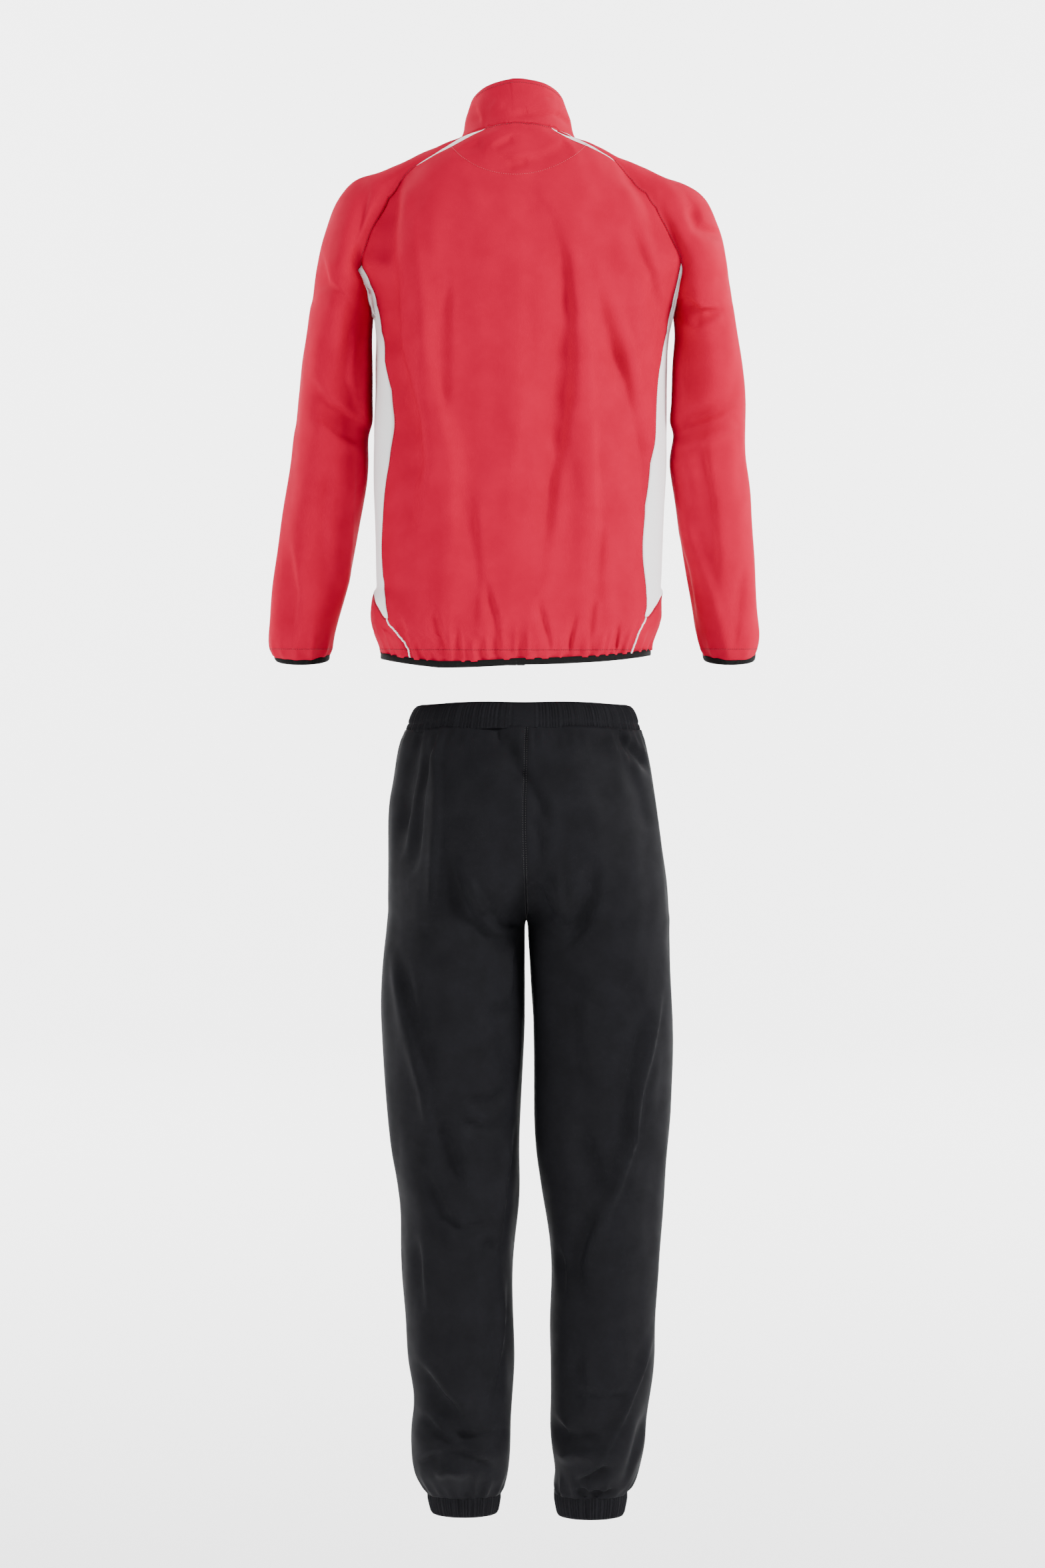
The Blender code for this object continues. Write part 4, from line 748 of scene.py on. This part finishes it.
def hang(places):
    """Lowers and raises the jacket's hem, cuffs and collar as they hang."""
    x, y = places[:, 0], places[:, 1]
    share = smooth((-places[:, 2] - SWAY_FROM) / (SWAY_TO - SWAY_FROM))
    hem_x, rise = zip(*HEM_SWAY)
    lift = np.interp(x, hem_x, rise)
    for middle, _, _ in WRIST_EDGES.values():
        towards_back = np.clip((middle[1] - y) / CUFF_DEPTH, -0.3, 1)
        outer = np.sign(middle[0]) * x > SLEEVE_APART
        lift = np.where(outer, -CUFF_SAG * towards_back, lift)
    places[:, 2] += lift * share - COLLAR_DROP * smooth(places[:, 2] / COLLAR_HIGH)


def waist_edge(angle):
    """How far down the trousers' top edge is, by the angle from the centre back."""
    across, along = np.sin(angle), np.cos(angle)
    front = np.where(along < 0, WAIST_FRONT_DIP * along**2, 0.0)
    return WAIST_GATHERS["edge"] + WAIST_SIDE_DIP * across**2 + front


def make_surfaces(names, crease, fineness):
    """The garment's surface at each fineness, with the same creases."""
    walls = fitted(joined_walls(names))
    inserts = [name for name in names if "insert" in name]
    surfaces = []
    for levels in fineness:
        surface = Surface(names, walls, levels)
        crease(surface)
        groove = np.zeros(len(surface.places))
        groove[surface.seams[:, :2].ravel()] = -SEAM_GROOVE
        surface.raise_by(groove * (1 - INSERT_EASE * surface.piece_weight(inserts)))
        surfaces.append(surface)
    return surfaces


def crease_jacket(surface):
    body = [name for name in JACKET if "sleeve" not in name and name != "collar"]
    fronts = ["jacket_front_left", "jacket_front_right"]
    sleeves = ["sleeve_left", "sleeve_right"]
    backs = ["jacket_back", "jacket_side_left", "jacket_side_right"]
    add_slack(surface, 1.0)
    add_folds(surface, JACKET_BACK_FOLDS + YOKE_FOLDS + HEM_FOLDS, -1, backs)
    add_folds(surface, COLLAR_FOLDS, -1, ["collar"])
    add_folds(surface, JACKET_FRONT_FOLDS, 1, fronts)
    add_folds(surface, SLEEVE_FOLDS, -1, sleeves)
    add_folds(surface, SLEEVE_FOLDS, 1, sleeves)
    add_gathers(surface, body, HEM_EDGE, HEM_GATHERS)
    for word, edge_place in WRIST_EDGES.items():
        add_gathers(surface, ["sleeve_" + word], edge_place, WRIST_GATHERS)
    hang(surface.places)
    surface.find_normals()


def crease_trousers(surface):
    backs = ["trouser_back_left", "trouser_back_right"]
    fronts = ["trouser_front_left", "trouser_front_right"]
    add_slack(surface, 4.0)
    add_folds(surface, TROUSER_BACK_FOLDS, -1, backs, TROUSER_FOLD_STRENGTH)
    add_folds(surface, TROUSER_FRONT_FOLDS, 1, fronts, FRONT_FOLD_STRENGTH)
    add_gathers(surface, list(TROUSERS), WAIST_EDGE, WAIST_GATHERS, False, waist_edge)
    x, y, down = surface.places[:, 0] - WAIST_EDGE[0][0], surface.places[:, 1], -surface.places[:, 2]
    near_waist = smooth(1 - (down - WAIST_GATHERS["edge"]) / WAIST_LIFT_REACH)
    surface.places[:, 2] += WAIST_SIDE_LIFT * x**2 / (x**2 + y**2) * near_waist
    surface.find_normals()
    for word, edge_place in ANKLE_EDGES.items():
        legs = ["trouser_back_" + word, "trouser_front_" + word]
        add_gathers(surface, legs, edge_place, ANKLE_GATHERS)


def mesh_from(name, places, faces, material, uv=None):
    """A mesh object at the origin, from places in millimetres, smooth, with its cloth UV map."""
    mesh = bpy.data.meshes.new(name)
    mesh.from_pydata((np.asarray(places) * MM).tolist(), [], [list(f) for f in faces])
    mesh.materials.append(material)
    mesh.shade_smooth()
    if uv is not None:
        layer = mesh.uv_layers.new(name="cloth")
        layer.data.foreach_set("uv", np.asarray(uv, np.float32).ravel())
    return in_scene(name, mesh)


def centre_lines(places):
    """The middle of the places and their mean reach, by level, for the cloth's own coordinates."""
    levels = np.arange(places[:, 2].min(), places[:, 2].max() + 40, 40)
    middles = []
    for low in levels:
        near = np.abs(places[:, 2] - low) < 30
        middles.append(places[near][:, :2].mean(axis=0) if near.any() else middles[-1])
    return levels, np.array(middles)


def cloth_uv(places, quads, around_own_middle):
    """Metres round the tube and down it for each corner of each quad."""
    middle = np.zeros((len(places), 2))
    if around_own_middle:
        levels, middles = centre_lines(places)
        for axis in range(2):
            middle[:, axis] = np.interp(places[:, 2], levels, middles[:, axis])
    away = places[:, :2] - middle
    angle = np.arctan2(away[:, 1], away[:, 0])
    if not around_own_middle:
        angle = np.arctan2(away[:, 0], -away[:, 1])
    reach = np.hypot(away[:, 0], away[:, 1]).mean()
    corner = angle[quads]
    corner = corner + 2 * math.pi * (corner.max(axis=1, keepdims=True) - corner > math.pi)
    return np.stack([corner * reach * MM, places[:, 2][quads] * MM], axis=2).reshape(-1, 2)


def shell(surface, name, material, wall=SHELL_WALL):
    """One piece of a garment as a closed thin shell that meets the next pieces at its seams."""
    used, local = np.unique(surface.quads[surface.piece == surface.names.index(name)], return_inverse=True)
    local = local.reshape(-1, 4)
    places, normals = surface.places[used], surface.normals[used]
    start, end = local.ravel(), np.roll(local, -1, axis=1).ravel()
    key = np.minimum(start, end) * len(used) + np.maximum(start, end)
    _, first, count = np.unique(key, return_index=True, return_counts=True)
    a, b = start[first[count == 1]], end[first[count == 1]]
    count = len(used)
    faces = np.concatenate([
        local,
        local[:, ::-1] + count,
        np.column_stack([b, a, a + count, b + count]),
    ])
    both = np.concatenate([places, places - normals * wall])
    uv = cloth_uv(both, faces, "sleeve" in name or "trouser" in name)
    return mesh_from(name + "_shell", both, faces, material, uv)


def band_point(rows, share, angle, dips=(0.0, 0.0)):
    """A place on an elastic band: share 0 at its top and 1 at its bottom, angle 0 at the back."""
    rows = np.array(rows, float)
    down = rows[0, 0] + share * (rows[-1, 0] - rows[0, 0])
    x, y, half, back, front = (np.interp(down, rows[:, 0], rows[:, k]) for k in range(1, 6))
    across, along = np.sin(angle), np.cos(angle)
    dip = dips[0] * across**2 + np.where(along < 0, dips[1] * along**2, 0.0)
    if dips[1]:
        dip = dip + JOIN_DIP * (1 - share) * np.exp(-((across / JOIN_SPREAD) ** 2)) * (along > 0)
    depth = np.where(along > 0, back, front)
    return np.stack([x + half * across, y - depth * along, -down - dip], axis=-1)


def new_tree(name, inputs):
    """A geometry tree with these inputs between its geometry and its material."""
    tree = bpy.data.node_groups.new(name, "GeometryNodeTree")
    for label, kind in (("Geometry", "Geometry"), *inputs, ("Material", "Material")):
        tree.interface.new_socket(name=label, in_out="INPUT", socket_type="NodeSocket" + kind)
    tree.interface.new_socket(name="Geometry", in_out="OUTPUT", socket_type="NodeSocketGeometry")
    return tree, add_node(tree, "NodeGroupInput")


def ended(tree, given, geometry):
    """Makes the tree's result real and gives it its material."""
    real = add_node(tree, "GeometryNodeRealizeInstances", {"Geometry": geometry})
    dyed = add_node(
        tree, "GeometryNodeSetMaterial", {"Geometry": real.outputs[0], "Material": given.outputs["Material"]}
    )
    add_node(tree, "NodeGroupOutput", {"Geometry": dyed.outputs[0]})
    return tree


def rib_tree():
    """Geometry Nodes: raises a band's outer points into ribs that follow its cloth coordinates."""
    tree, given = new_tree("gathered_ribs", (("Pitch", "Float"), ("Height", "Float")))
    around, ribbed = (
        add_node(tree, "GeometryNodeInputNamedAttribute", {"Name": name}, data_type="FLOAT").outputs[0]
        for name in ("around", "ribbed")
    )
    turns = maths(tree, "DIVIDE", around, given.outputs["Pitch"])
    uneven = add_node(
        tree, "ShaderNodeTexNoise", {"W": turns, "Scale": RIB_DRIFT_SCALE, "Detail": 1.0},
        noise_dimensions="1D",
    )
    shifted = maths(tree, "MULTIPLY_ADD", uneven.outputs[0], RIB_DRIFT, turns)
    wave = maths(tree, "SINE", maths(tree, "MULTIPLY", shifted, 2 * math.pi))
    height = maths(tree, "MULTIPLY", wave, maths(tree, "MULTIPLY", ribbed, given.outputs["Height"]))
    normal = add_node(tree, "GeometryNodeInputNormal")
    out = add_node(tree, "ShaderNodeVectorMath", {0: normal.outputs[0], "Scale": height}, operation="SCALE")
    moved = add_node(
        tree, "GeometryNodeSetPosition", {"Geometry": given.outputs["Geometry"], "Offset": out.outputs[0]}
    )
    return ended(tree, given, moved.outputs[0])


def stitch_tree():
    """Geometry Nodes: small bodies set along a path, such as stitches and the zip's coil."""
    tree, given = new_tree("along_a_path", (("Pitch", "Float"), ("Body size", "Vector")))
    path = add_node(tree, "GeometryNodeMeshToCurve", {"Mesh": given.outputs["Geometry"]})
    steps = add_node(
        tree, "GeometryNodeResampleCurve", {"Curve": path.outputs[0], "Length": given.outputs["Pitch"]},
        mode="LENGTH",
    )
    body = add_node(tree, "GeometryNodeMeshIcoSphere", {"Radius": 1.0, "Subdivisions": 1})
    sized = add_node(
        tree, "GeometryNodeTransform", {"Geometry": body.outputs[0], "Scale": given.outputs["Body size"]}
    )
    tangent = add_node(tree, "GeometryNodeInputTangent")
    turned = add_node(tree, "FunctionNodeAlignRotationToVector", {"Vector": tangent.outputs[0]}, axis="X")
    set_out = add_node(
        tree, "GeometryNodeInstanceOnPoints",
        {"Points": steps.outputs[0], "Instance": sized.outputs[0], "Rotation": turned.outputs[0]},
    )
    return ended(tree, given, set_out.outputs[0])


RIB_TREE = rib_tree()
STITCH_TREE = stitch_tree()


def grown(obj, tree, values):
    """Runs a tree on an object and keeps the result as a plain mesh."""
    maker = obj.modifiers.new("maker", "NODES")
    maker.node_group = tree
    for item in tree.interface.items_tree:
        if item.in_out == "INPUT" and item.name in values:
            maker[item.identifier] = values[item.name]
    obj.update_tag()
    bpy.context.view_layer.update()
    result = evaluated_mesh(obj)
    obj.modifiers.remove(maker)
    obj.data = result
    result.shade_smooth()
    return obj


def make_band(name, rows, material, columns, levels, rib, channel, dips=(0.0, 0.0), join=0.0):
    """A closed elastic band. Ribs fade at its edges, at the sewn channel and at the plain join."""
    angles = np.linspace(0, 2 * math.pi, columns, endpoint=False)
    shares = np.linspace(0, 1, levels)
    grid = np.array([band_point(rows, share, angles, dips) for share in shares])
    middle = grid.mean(axis=(0, 1))
    out = grid - middle
    out[..., 2] = 0
    out /= np.linalg.norm(out, axis=-1)[..., None]
    bulge = BAND_BULGE * np.sin(shares * math.pi) ** 0.6
    bulge -= CHANNEL_DEPTH * np.exp(-(((shares - channel) * CHANNEL_NARROW) ** 2))
    grid += out * bulge[:, None, None]
    outer, inner = grid + out * BAND_WALL / 2, grid - out * BAND_WALL / 2
    places = np.concatenate([outer.reshape(-1, 3), inner.reshape(-1, 3)])
    count = levels * columns
    faces = []
    for i in range(levels - 1):
        for j in range(columns):
            k = (j + 1) % columns
            a, b, c, d = i * columns + j, (i + 1) * columns + j, (i + 1) * columns + k, i * columns + k
            faces.append((a, b, c, d))
            faces.append((a + count, d + count, c + count, b + count))
    for j in range(columns):
        k = (j + 1) % columns
        low = (levels - 1) * columns
        faces.append((j, k, k + count, j + count))
        faces.append((low + k, low + j, low + j + count, low + k + count))
    steps = np.linalg.norm(np.diff(grid[0], axis=0, append=grid[0][:1]), axis=1)
    around = np.concatenate([[0], np.cumsum(steps)[:-1]])
    total = steps.sum()
    faces = np.array(faces)
    u = np.tile(around, levels * 2)
    corner = u[faces]
    corner = corner + total * (corner.max(axis=1, keepdims=True) - corner > total / 2)
    uv = np.stack([corner * MM, places[:, 2][faces] * MM], axis=2).reshape(-1, 2)
    obj = mesh_from(name, places, faces, material, uv)
    plain = np.ones((levels, columns))
    if join:
        # Only the back has the join, so the front's ribs keep their full height
        plain *= smooth((np.abs(grid[..., 0] - rows[0][1]) - join) / JOIN_FADE + (grid[..., 1] > 0) * 9)
    plain *= smooth(np.minimum(shares, 1 - shares) / BAND_EDGE)[:, None]
    plain *= (1 - 0.75 * np.exp(-(((shares - channel) * CHANNEL_PLAIN) ** 2)))[:, None]
    weight = np.concatenate([plain.ravel(), np.zeros(count)])
    for label, values in (("around", u * MM), ("ribbed", weight)):
        layer = obj.data.attributes.new(label, "FLOAT", "POINT")
        layer.data.foreach_set("value", values.astype(np.float32))
    return grown(obj, RIB_TREE, {"Pitch": RIB_PITCH * MM, "Height": rib * MM, "Material": material})


def path_mesh(name, paths):
    """Edges along each path, for a tree to follow."""
    places, edges = [], []
    for path in paths:
        start = len(places)
        places.extend((np.asarray(path) * MM).tolist())
        edges.extend((start + k, start + k + 1) for k in range(len(path) - 1))
    mesh = bpy.data.meshes.new(name)
    mesh.from_pydata(places, edges, [])
    return in_scene(name, mesh)


def stitched(name, paths, thread):
    size = (STITCH_LENGTH / 2 * MM, THREAD * MM, THREAD * MM)
    values = {"Pitch": STITCH_PITCH * MM, "Body size": size, "Material": thread}
    return grown(path_mesh(name, paths), STITCH_TREE, values)


def beside(surface, tree, path, piece, away, lift=LINE_LIFT):
    """A line on the surface beside a seam path, at a distance on the named piece's side."""
    places = surface.places[path]
    inside = surface.places[surface.quads[surface.piece == surface.names.index(piece)]].mean(axis=1)
    along = np.gradient(places, axis=0)
    normal = surface.normals[path]
    side = np.cross(normal, along)
    side /= np.maximum(np.linalg.norm(side, axis=1), 1e-9)[:, None]
    nearest = np.linalg.norm(inside[None] - places[len(places) // 2], axis=2).argmin()
    towards = inside[nearest] - places[len(places) // 2]
    if np.dot(side[len(places) // 2], towards) < 0:
        side = -side
    line = []
    for at in places + side * away:
        spot, facing, _, _ = tree.find_nearest(Vector(at))
        line.append(spot + facing * lift)
    return line


def level_line(surface, piece, down):
    """Where a piece is cut by a level, in order round it."""
    chosen = surface.quads[surface.piece == surface.names.index(piece)]
    height = surface.places[:, 2] + down
    crossings = []
    for a, b in ((0, 1), (1, 2), (2, 3), (3, 0)):
        s, e = chosen[:, a], chosen[:, b]
        cut = (height[s] > 0) != (height[e] > 0)
        s, e = s[cut], e[cut]
        t = (height[s] / (height[s] - height[e]))[:, None]
        at = surface.places[s] * (1 - t) + surface.places[e] * t
        crossings.append(at + (surface.normals[s] * (1 - t) + surface.normals[e] * t) * LINE_LIFT)
    points = np.concatenate(crossings)
    left = list(range(1, len(points)))
    ordered = [0]
    for end in (0, -1):
        while left:
            gaps = np.linalg.norm(points[left] - points[ordered[end]], axis=1)
            nearest = int(gaps.argmin())
            if gaps[nearest] > LINE_BREAK:
                break
            ordered.insert(0 if end == 0 else len(ordered), left.pop(nearest))
    return points[ordered]


def collar_line(surface, tree):
    """The stitches just below the collar's top edge."""
    chosen = surface.piece[surface.open_edges[:, 2]] == surface.names.index("collar")
    rim = np.unique(surface.open_edges[chosen][:, :2])
    places = surface.places[rim]
    top = places[places[:, 2] > COLLAR_TOP_FROM]
    turn = np.arctan2(top[:, 0], -top[:, 1])
    line = []
    for at in top[np.argsort(turn)]:
        spot, facing, _, _ = tree.find_nearest(Vector(at) - Vector((0, 0, COLLAR_SEW_DOWN)))
        line.append(spot + facing * LINE_LIFT)
    return line


def curve_on_back(tree, points):
    """A smooth line through points given as x and down, laid on the back of the garment."""
    points = np.array(points, float)
    at = np.linspace(0, 1, len(points))
    t = np.linspace(0, 1, CURVE_STEPS)
    x, down = (np.polyval(np.polyfit(at, points[:, k], CURVE_POWER), t) for k in range(2))
    line = []
    for a, b in zip(x, down):
        spot, facing, _, _ = tree.ray_cast(Vector((a, -400, -b)), Vector((0, 1, 0)))
        line.append(spot + facing * LINE_LIFT)
    return line


def tube(name, path, radius, material):
    """A round cord along a path, closed at both ends."""
    curve = bpy.data.curves.new(name, "CURVE")
    curve.dimensions = "3D"
    curve.bevel_depth = radius * MM
    curve.bevel_resolution = CORD_ROUNDNESS
    curve.use_fill_caps = True
    spline = curve.splines.new("POLY")
    spline.points.add(len(path) - 1)
    for point, at in zip(spline.points, path):
        point.co = (*(Vector(at) * MM), 1.0)
    obj = in_scene(name, curve)
    mesh = evaluated_mesh(obj)
    bpy.data.objects.remove(obj)
    mesh.materials.clear()
    mesh.materials.append(material)
    mesh.shade_smooth()
    return in_scene(name, mesh)


def fix(obj, slot, *nodes, body="garment"):
    """The calls that every piece needs."""
    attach(obj, body)
    if nodes:
        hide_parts(*nodes)
    return obj


def lay_uv(obj):
    """Cloth coordinates for a strip that runs down the front: across it and down it."""
    mesh = obj.data
    layer = mesh.uv_layers.new(name="cloth")
    for loop in mesh.loops:
        place = mesh.vertices[loop.vertex_index].co
        layer.data[loop.index].uv = (place.x, place.z)
    return obj


def node_copy(name, material, bevel):
    """A frame node's own form, merged, with its edges rounded off."""
    bm = bmesh.new()
    bm.from_mesh(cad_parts[name].data)
    bmesh.ops.remove_doubles(bm, verts=bm.verts, dist=MERGE * MM)
    bmesh.ops.dissolve_limit(bm, angle_limit=math.radians(1), verts=bm.verts, edges=bm.edges)
    mesh = bpy.data.meshes.new(name + "_finished")
    bm.to_mesh(mesh)
    bm.free()
    mesh.materials.append(material)
    obj = in_scene(name + "_finished", mesh)
    round_off = obj.modifiers.new("round", "BEVEL")
    round_off.width = bevel * MM
    round_off.segments = 3
    return obj


def make_clothes():
    """The jacket's and the trousers' cloth pieces, and the surfaces that their sewing lies on."""
    jacket, jacket_coarse = make_surfaces(JACKET, crease_jacket, (FINE, COARSE))
    (trousers,) = make_surfaces(TROUSERS, crease_trousers, (FINE,))
    made = {}
    for name in JACKET:
        surface = jacket_coarse if name in COARSER else jacket
        white = "side" in name or "insert" in name
        finish, slot = (WHITE_CLOTH, "white_cloth") if white else (RED_CLOTH, "red_cloth")
        made[name] = fix(shell(surface, name, finish), slot, name)
    for name in TROUSERS:
        made[name] = fix(shell(trousers, name, BLACK_CLOTH), "black_cloth", name)
    return made, jacket, trousers


def make_piping(jacket):
    """White piping at the lower back corners."""
    made = {}
    tree = jacket.tree()
    for word in ("left", "right"):
        path = jacket.seam_path("jacket_back", "jacket_front_" + word)
        line = beside(jacket, tree, path, "jacket_back", 0.0, PIPING_HALF * PIPING_LIFT)
        cord = tube("piping_" + word, line, PIPING_HALF, WHITE_CLOTH)
        made["hem_piping_" + word] = fix(cord, "white_cloth", "hem_piping_" + word)
    return made


def make_zip():
    """The front zip: tapes and slider in the frame's own form, and a coil of nylon along the chain."""
    made = {}
    for name in ("zip_tape_left", "zip_tape_right"):
        made[name] = fix(lay_uv(node_copy(name, TAPE, TAPE_ROUND)), "zip_tape", name)
    made["zip_slider"] = fix(node_copy("zip_slider", ENAMEL, SLIDER_ROUND), "zip_metal", "zip_slider")
    made["zip_pull"] = fix(node_copy("zip_pull", ENAMEL, PULL_ROUND), "zip_metal", "zip_pull", body="pull")
    places = np.array([v.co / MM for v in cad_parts["zip_chain"].data.vertices])
    levels = np.arange(places[:, 2].max() - 1, places[:, 2].min() + 1, -COIL_STEP)
    line = []
    for level in levels:
        near = places[np.abs(places[:, 2] - level) < COIL_NEAR]
        line.append((0.0, near[:, 1].mean() if len(near) else line[-1][1], level))
    size = (COIL_WIRE * MM, COIL_HALF * MM, COIL_WIRE * COIL_FLATNESS * MM)
    values = {"Pitch": COIL_PITCH * MM, "Body size": size, "Material": NYLON}
    coil = grown(path_mesh("zip_coil", [line]), STITCH_TREE, values)
    made["zip_chain"] = fix(coil, "zip_teeth", "zip_chain")
    return made


def make_sewing(jacket, trousers):
    """Rows of stitches along the seams, the collar's top edge and the line below the collar."""
    tree = jacket.tree()
    red = []
    for word in ("left", "right"):
        sleeve, side, front = "sleeve_" + word, "jacket_side_" + word, "jacket_front_" + word
        for one, other, under in (
            (sleeve, "jacket_back", sleeve), (sleeve, front, sleeve),
            (side, "jacket_back", "jacket_back"), (side, front, front),
        ):
            red.append(beside(jacket, tree, jacket.seam_path(one, other), under, SEW_AWAY))
        red.append(level_line(jacket, front, HEM_SEW_LEVEL))
        red.append(level_line(jacket, sleeve, CUFF_SEW_LEVEL))
    red.append(level_line(jacket, "jacket_back", HEM_SEW_LEVEL))
    red.append(beside(jacket, tree, jacket.seam_path("collar", "jacket_back"), "jacket_back", SEW_AWAY))
    red.append(collar_line(jacket, tree))
    half_moon = [curve_on_back(tree, HALF_MOON)]
    black = []
    leg_tree = trousers.tree()
    for face in ("back", "front"):
        pair = (f"trouser_{face}_left", f"trouser_{face}_right")
        path = trousers.seam_path(*pair)
        black.extend(beside(trousers, leg_tree, path, one, SEW_AWAY) for one in pair)
    return {
        "sewing_red": fix(stitched("sewing_red", red, SEAM_THREAD_PAINTED_SHADE), "red_cloth"),
        "half_moon": fix(stitched("sewing_half_moon", half_moon, HALF_MOON_THREAD_PAINTED_HIGHLIGHT), "red_cloth"),
        "sewing_black": fix(stitched("sewing_black", black, BLACK_THREAD), "black_cloth"),
    }


def make_bands():
    """The gathered waistband and ankle cuffs, and the elastic bindings of hem and cuffs."""
    made = {}
    made["waistband"] = make_band(
        "waistband_gathered", WAISTBAND, BLACK_CLOTH, 960, 17, RIB_HEIGHT, CHANNEL_SHARE,
        (WAIST_SIDE_DIP - WAIST_SIDE_LIFT, WAIST_FRONT_DIP), WAIST_JOIN,
    )
    for word, rows in (("left", ANKLE_LEFT), ("right", ANKLE_RIGHT)):
        made["ankle_cuff_" + word] = make_band(
            "ankle_cuff_gathered_" + word, rows, BLACK_CLOTH, 400, 11, ANKLE_RIB_HEIGHT, ANKLE_CHANNEL
        )
    for name in made:
        fix(made[name], "black_cloth", name)
    for name in BINDINGS:
        surface = Surface([name], fitted(joined_walls([name], BINDING_WALL)), COARSE)
        lowered = np.full(len(surface.places), BINDING_LIFT)
        lowered[surface.open_edges[:, :2].ravel()] -= BINDING_EDGE
        surface.raise_by(lowered)
        height = surface.places[:, 2]
        upper = height > (height.min() + height.max()) / 2 if "cuff" in name else surface.open_top()
        surface.places[upper, 2] += BINDING_LAP
        hang(surface.places)
        surface.find_normals()
        made[name] = fix(shell(surface, name, ELASTIC, BINDING_WALL - 2 * BINDING_EDGE), "elastic", name)
    return made


def make_floor():
    """A pale floor that sweeps up behind into a wall."""
    rows = [(-FLOOR_REACH, FLOOR_LEVEL), (WALL_FROM, FLOOR_LEVEL)]
    for k in range(1, SWEEP_STEPS + 1):
        turn = math.radians(90 * k / SWEEP_STEPS)
        rows.append((WALL_FROM + SWEEP * math.sin(turn), FLOOR_LEVEL + SWEEP * (1 - math.cos(turn))))
    rows.append((WALL_FROM + SWEEP, WALL_TOP))
    places = [(x, y, z) for y, z in rows for x in (-FLOOR_REACH, FLOOR_REACH)]
    faces = [(2 * k, 2 * k + 1, 2 * k + 3, 2 * k + 2) for k in range(len(rows) - 1)]
    # Plain white paper with no gloss, so that nothing shows in it but a soft shade
    paper = speckled("white_studio_paper", "#F7F7F7", "#F3F3F3", 8.0, 0.9)
    mesh_from("studio_floor", np.array(places) / MM, faces, paper)


def make_lights():
    """An even white surround and soft lamps on the garment, the floor and the wall."""
    world = bpy.data.worlds.new("studio")
    world.use_nodes = True
    surround = world.node_tree.nodes["Background"]
    surround.inputs["Color"].default_value = (1, 1, 1, 1)
    surround.inputs["Strength"].default_value = WORLD_STRENGTH
    bpy.context.scene.world = world
    for name, place, target, size, power in LAMPS:
        light = bpy.data.lights.new(name, "AREA")
        light.size = size
        light.energy = power
        lamp = in_scene(name, light)
        lamp.location = place
        lamp.rotation_euler = (Vector(target) - Vector(place)).to_track_quat("-Z", "Y").to_euler()


def make_camera():
    """The camera, level at the photo's eye height, framed as the photo is."""
    camera = bpy.data.cameras.new("camera")
    high = PHOTO_HIGH * SCALE * MM
    camera.sensor_width = SENSOR
    camera.lens = SENSOR * CAMERA_AWAY / high
    camera.shift_y = (EYE_DOWN - (PHOTO_HIGH / 2 - PHOTO_DOWN) * SCALE) * MM / high
    eye = in_scene("camera", camera)
    eye.location = ((PHOTO_WIDE / 2 - PHOTO_X) * SCALE * MM, -CAMERA_AWAY, -EYE_DOWN * MM)
    eye.rotation_euler = (math.radians(90), 0, 0)
    bpy.context.scene.camera = eye


make_floor()
make_lights()
make_camera()
PIECES, JACKET_SURFACE, TROUSER_SURFACE = make_clothes()
PIECES.update(make_bands())
PIECES.update(make_piping(JACKET_SURFACE))
PIECES.update(make_zip())
PIECES.update(make_sewing(JACKET_SURFACE, TROUSER_SURFACE))
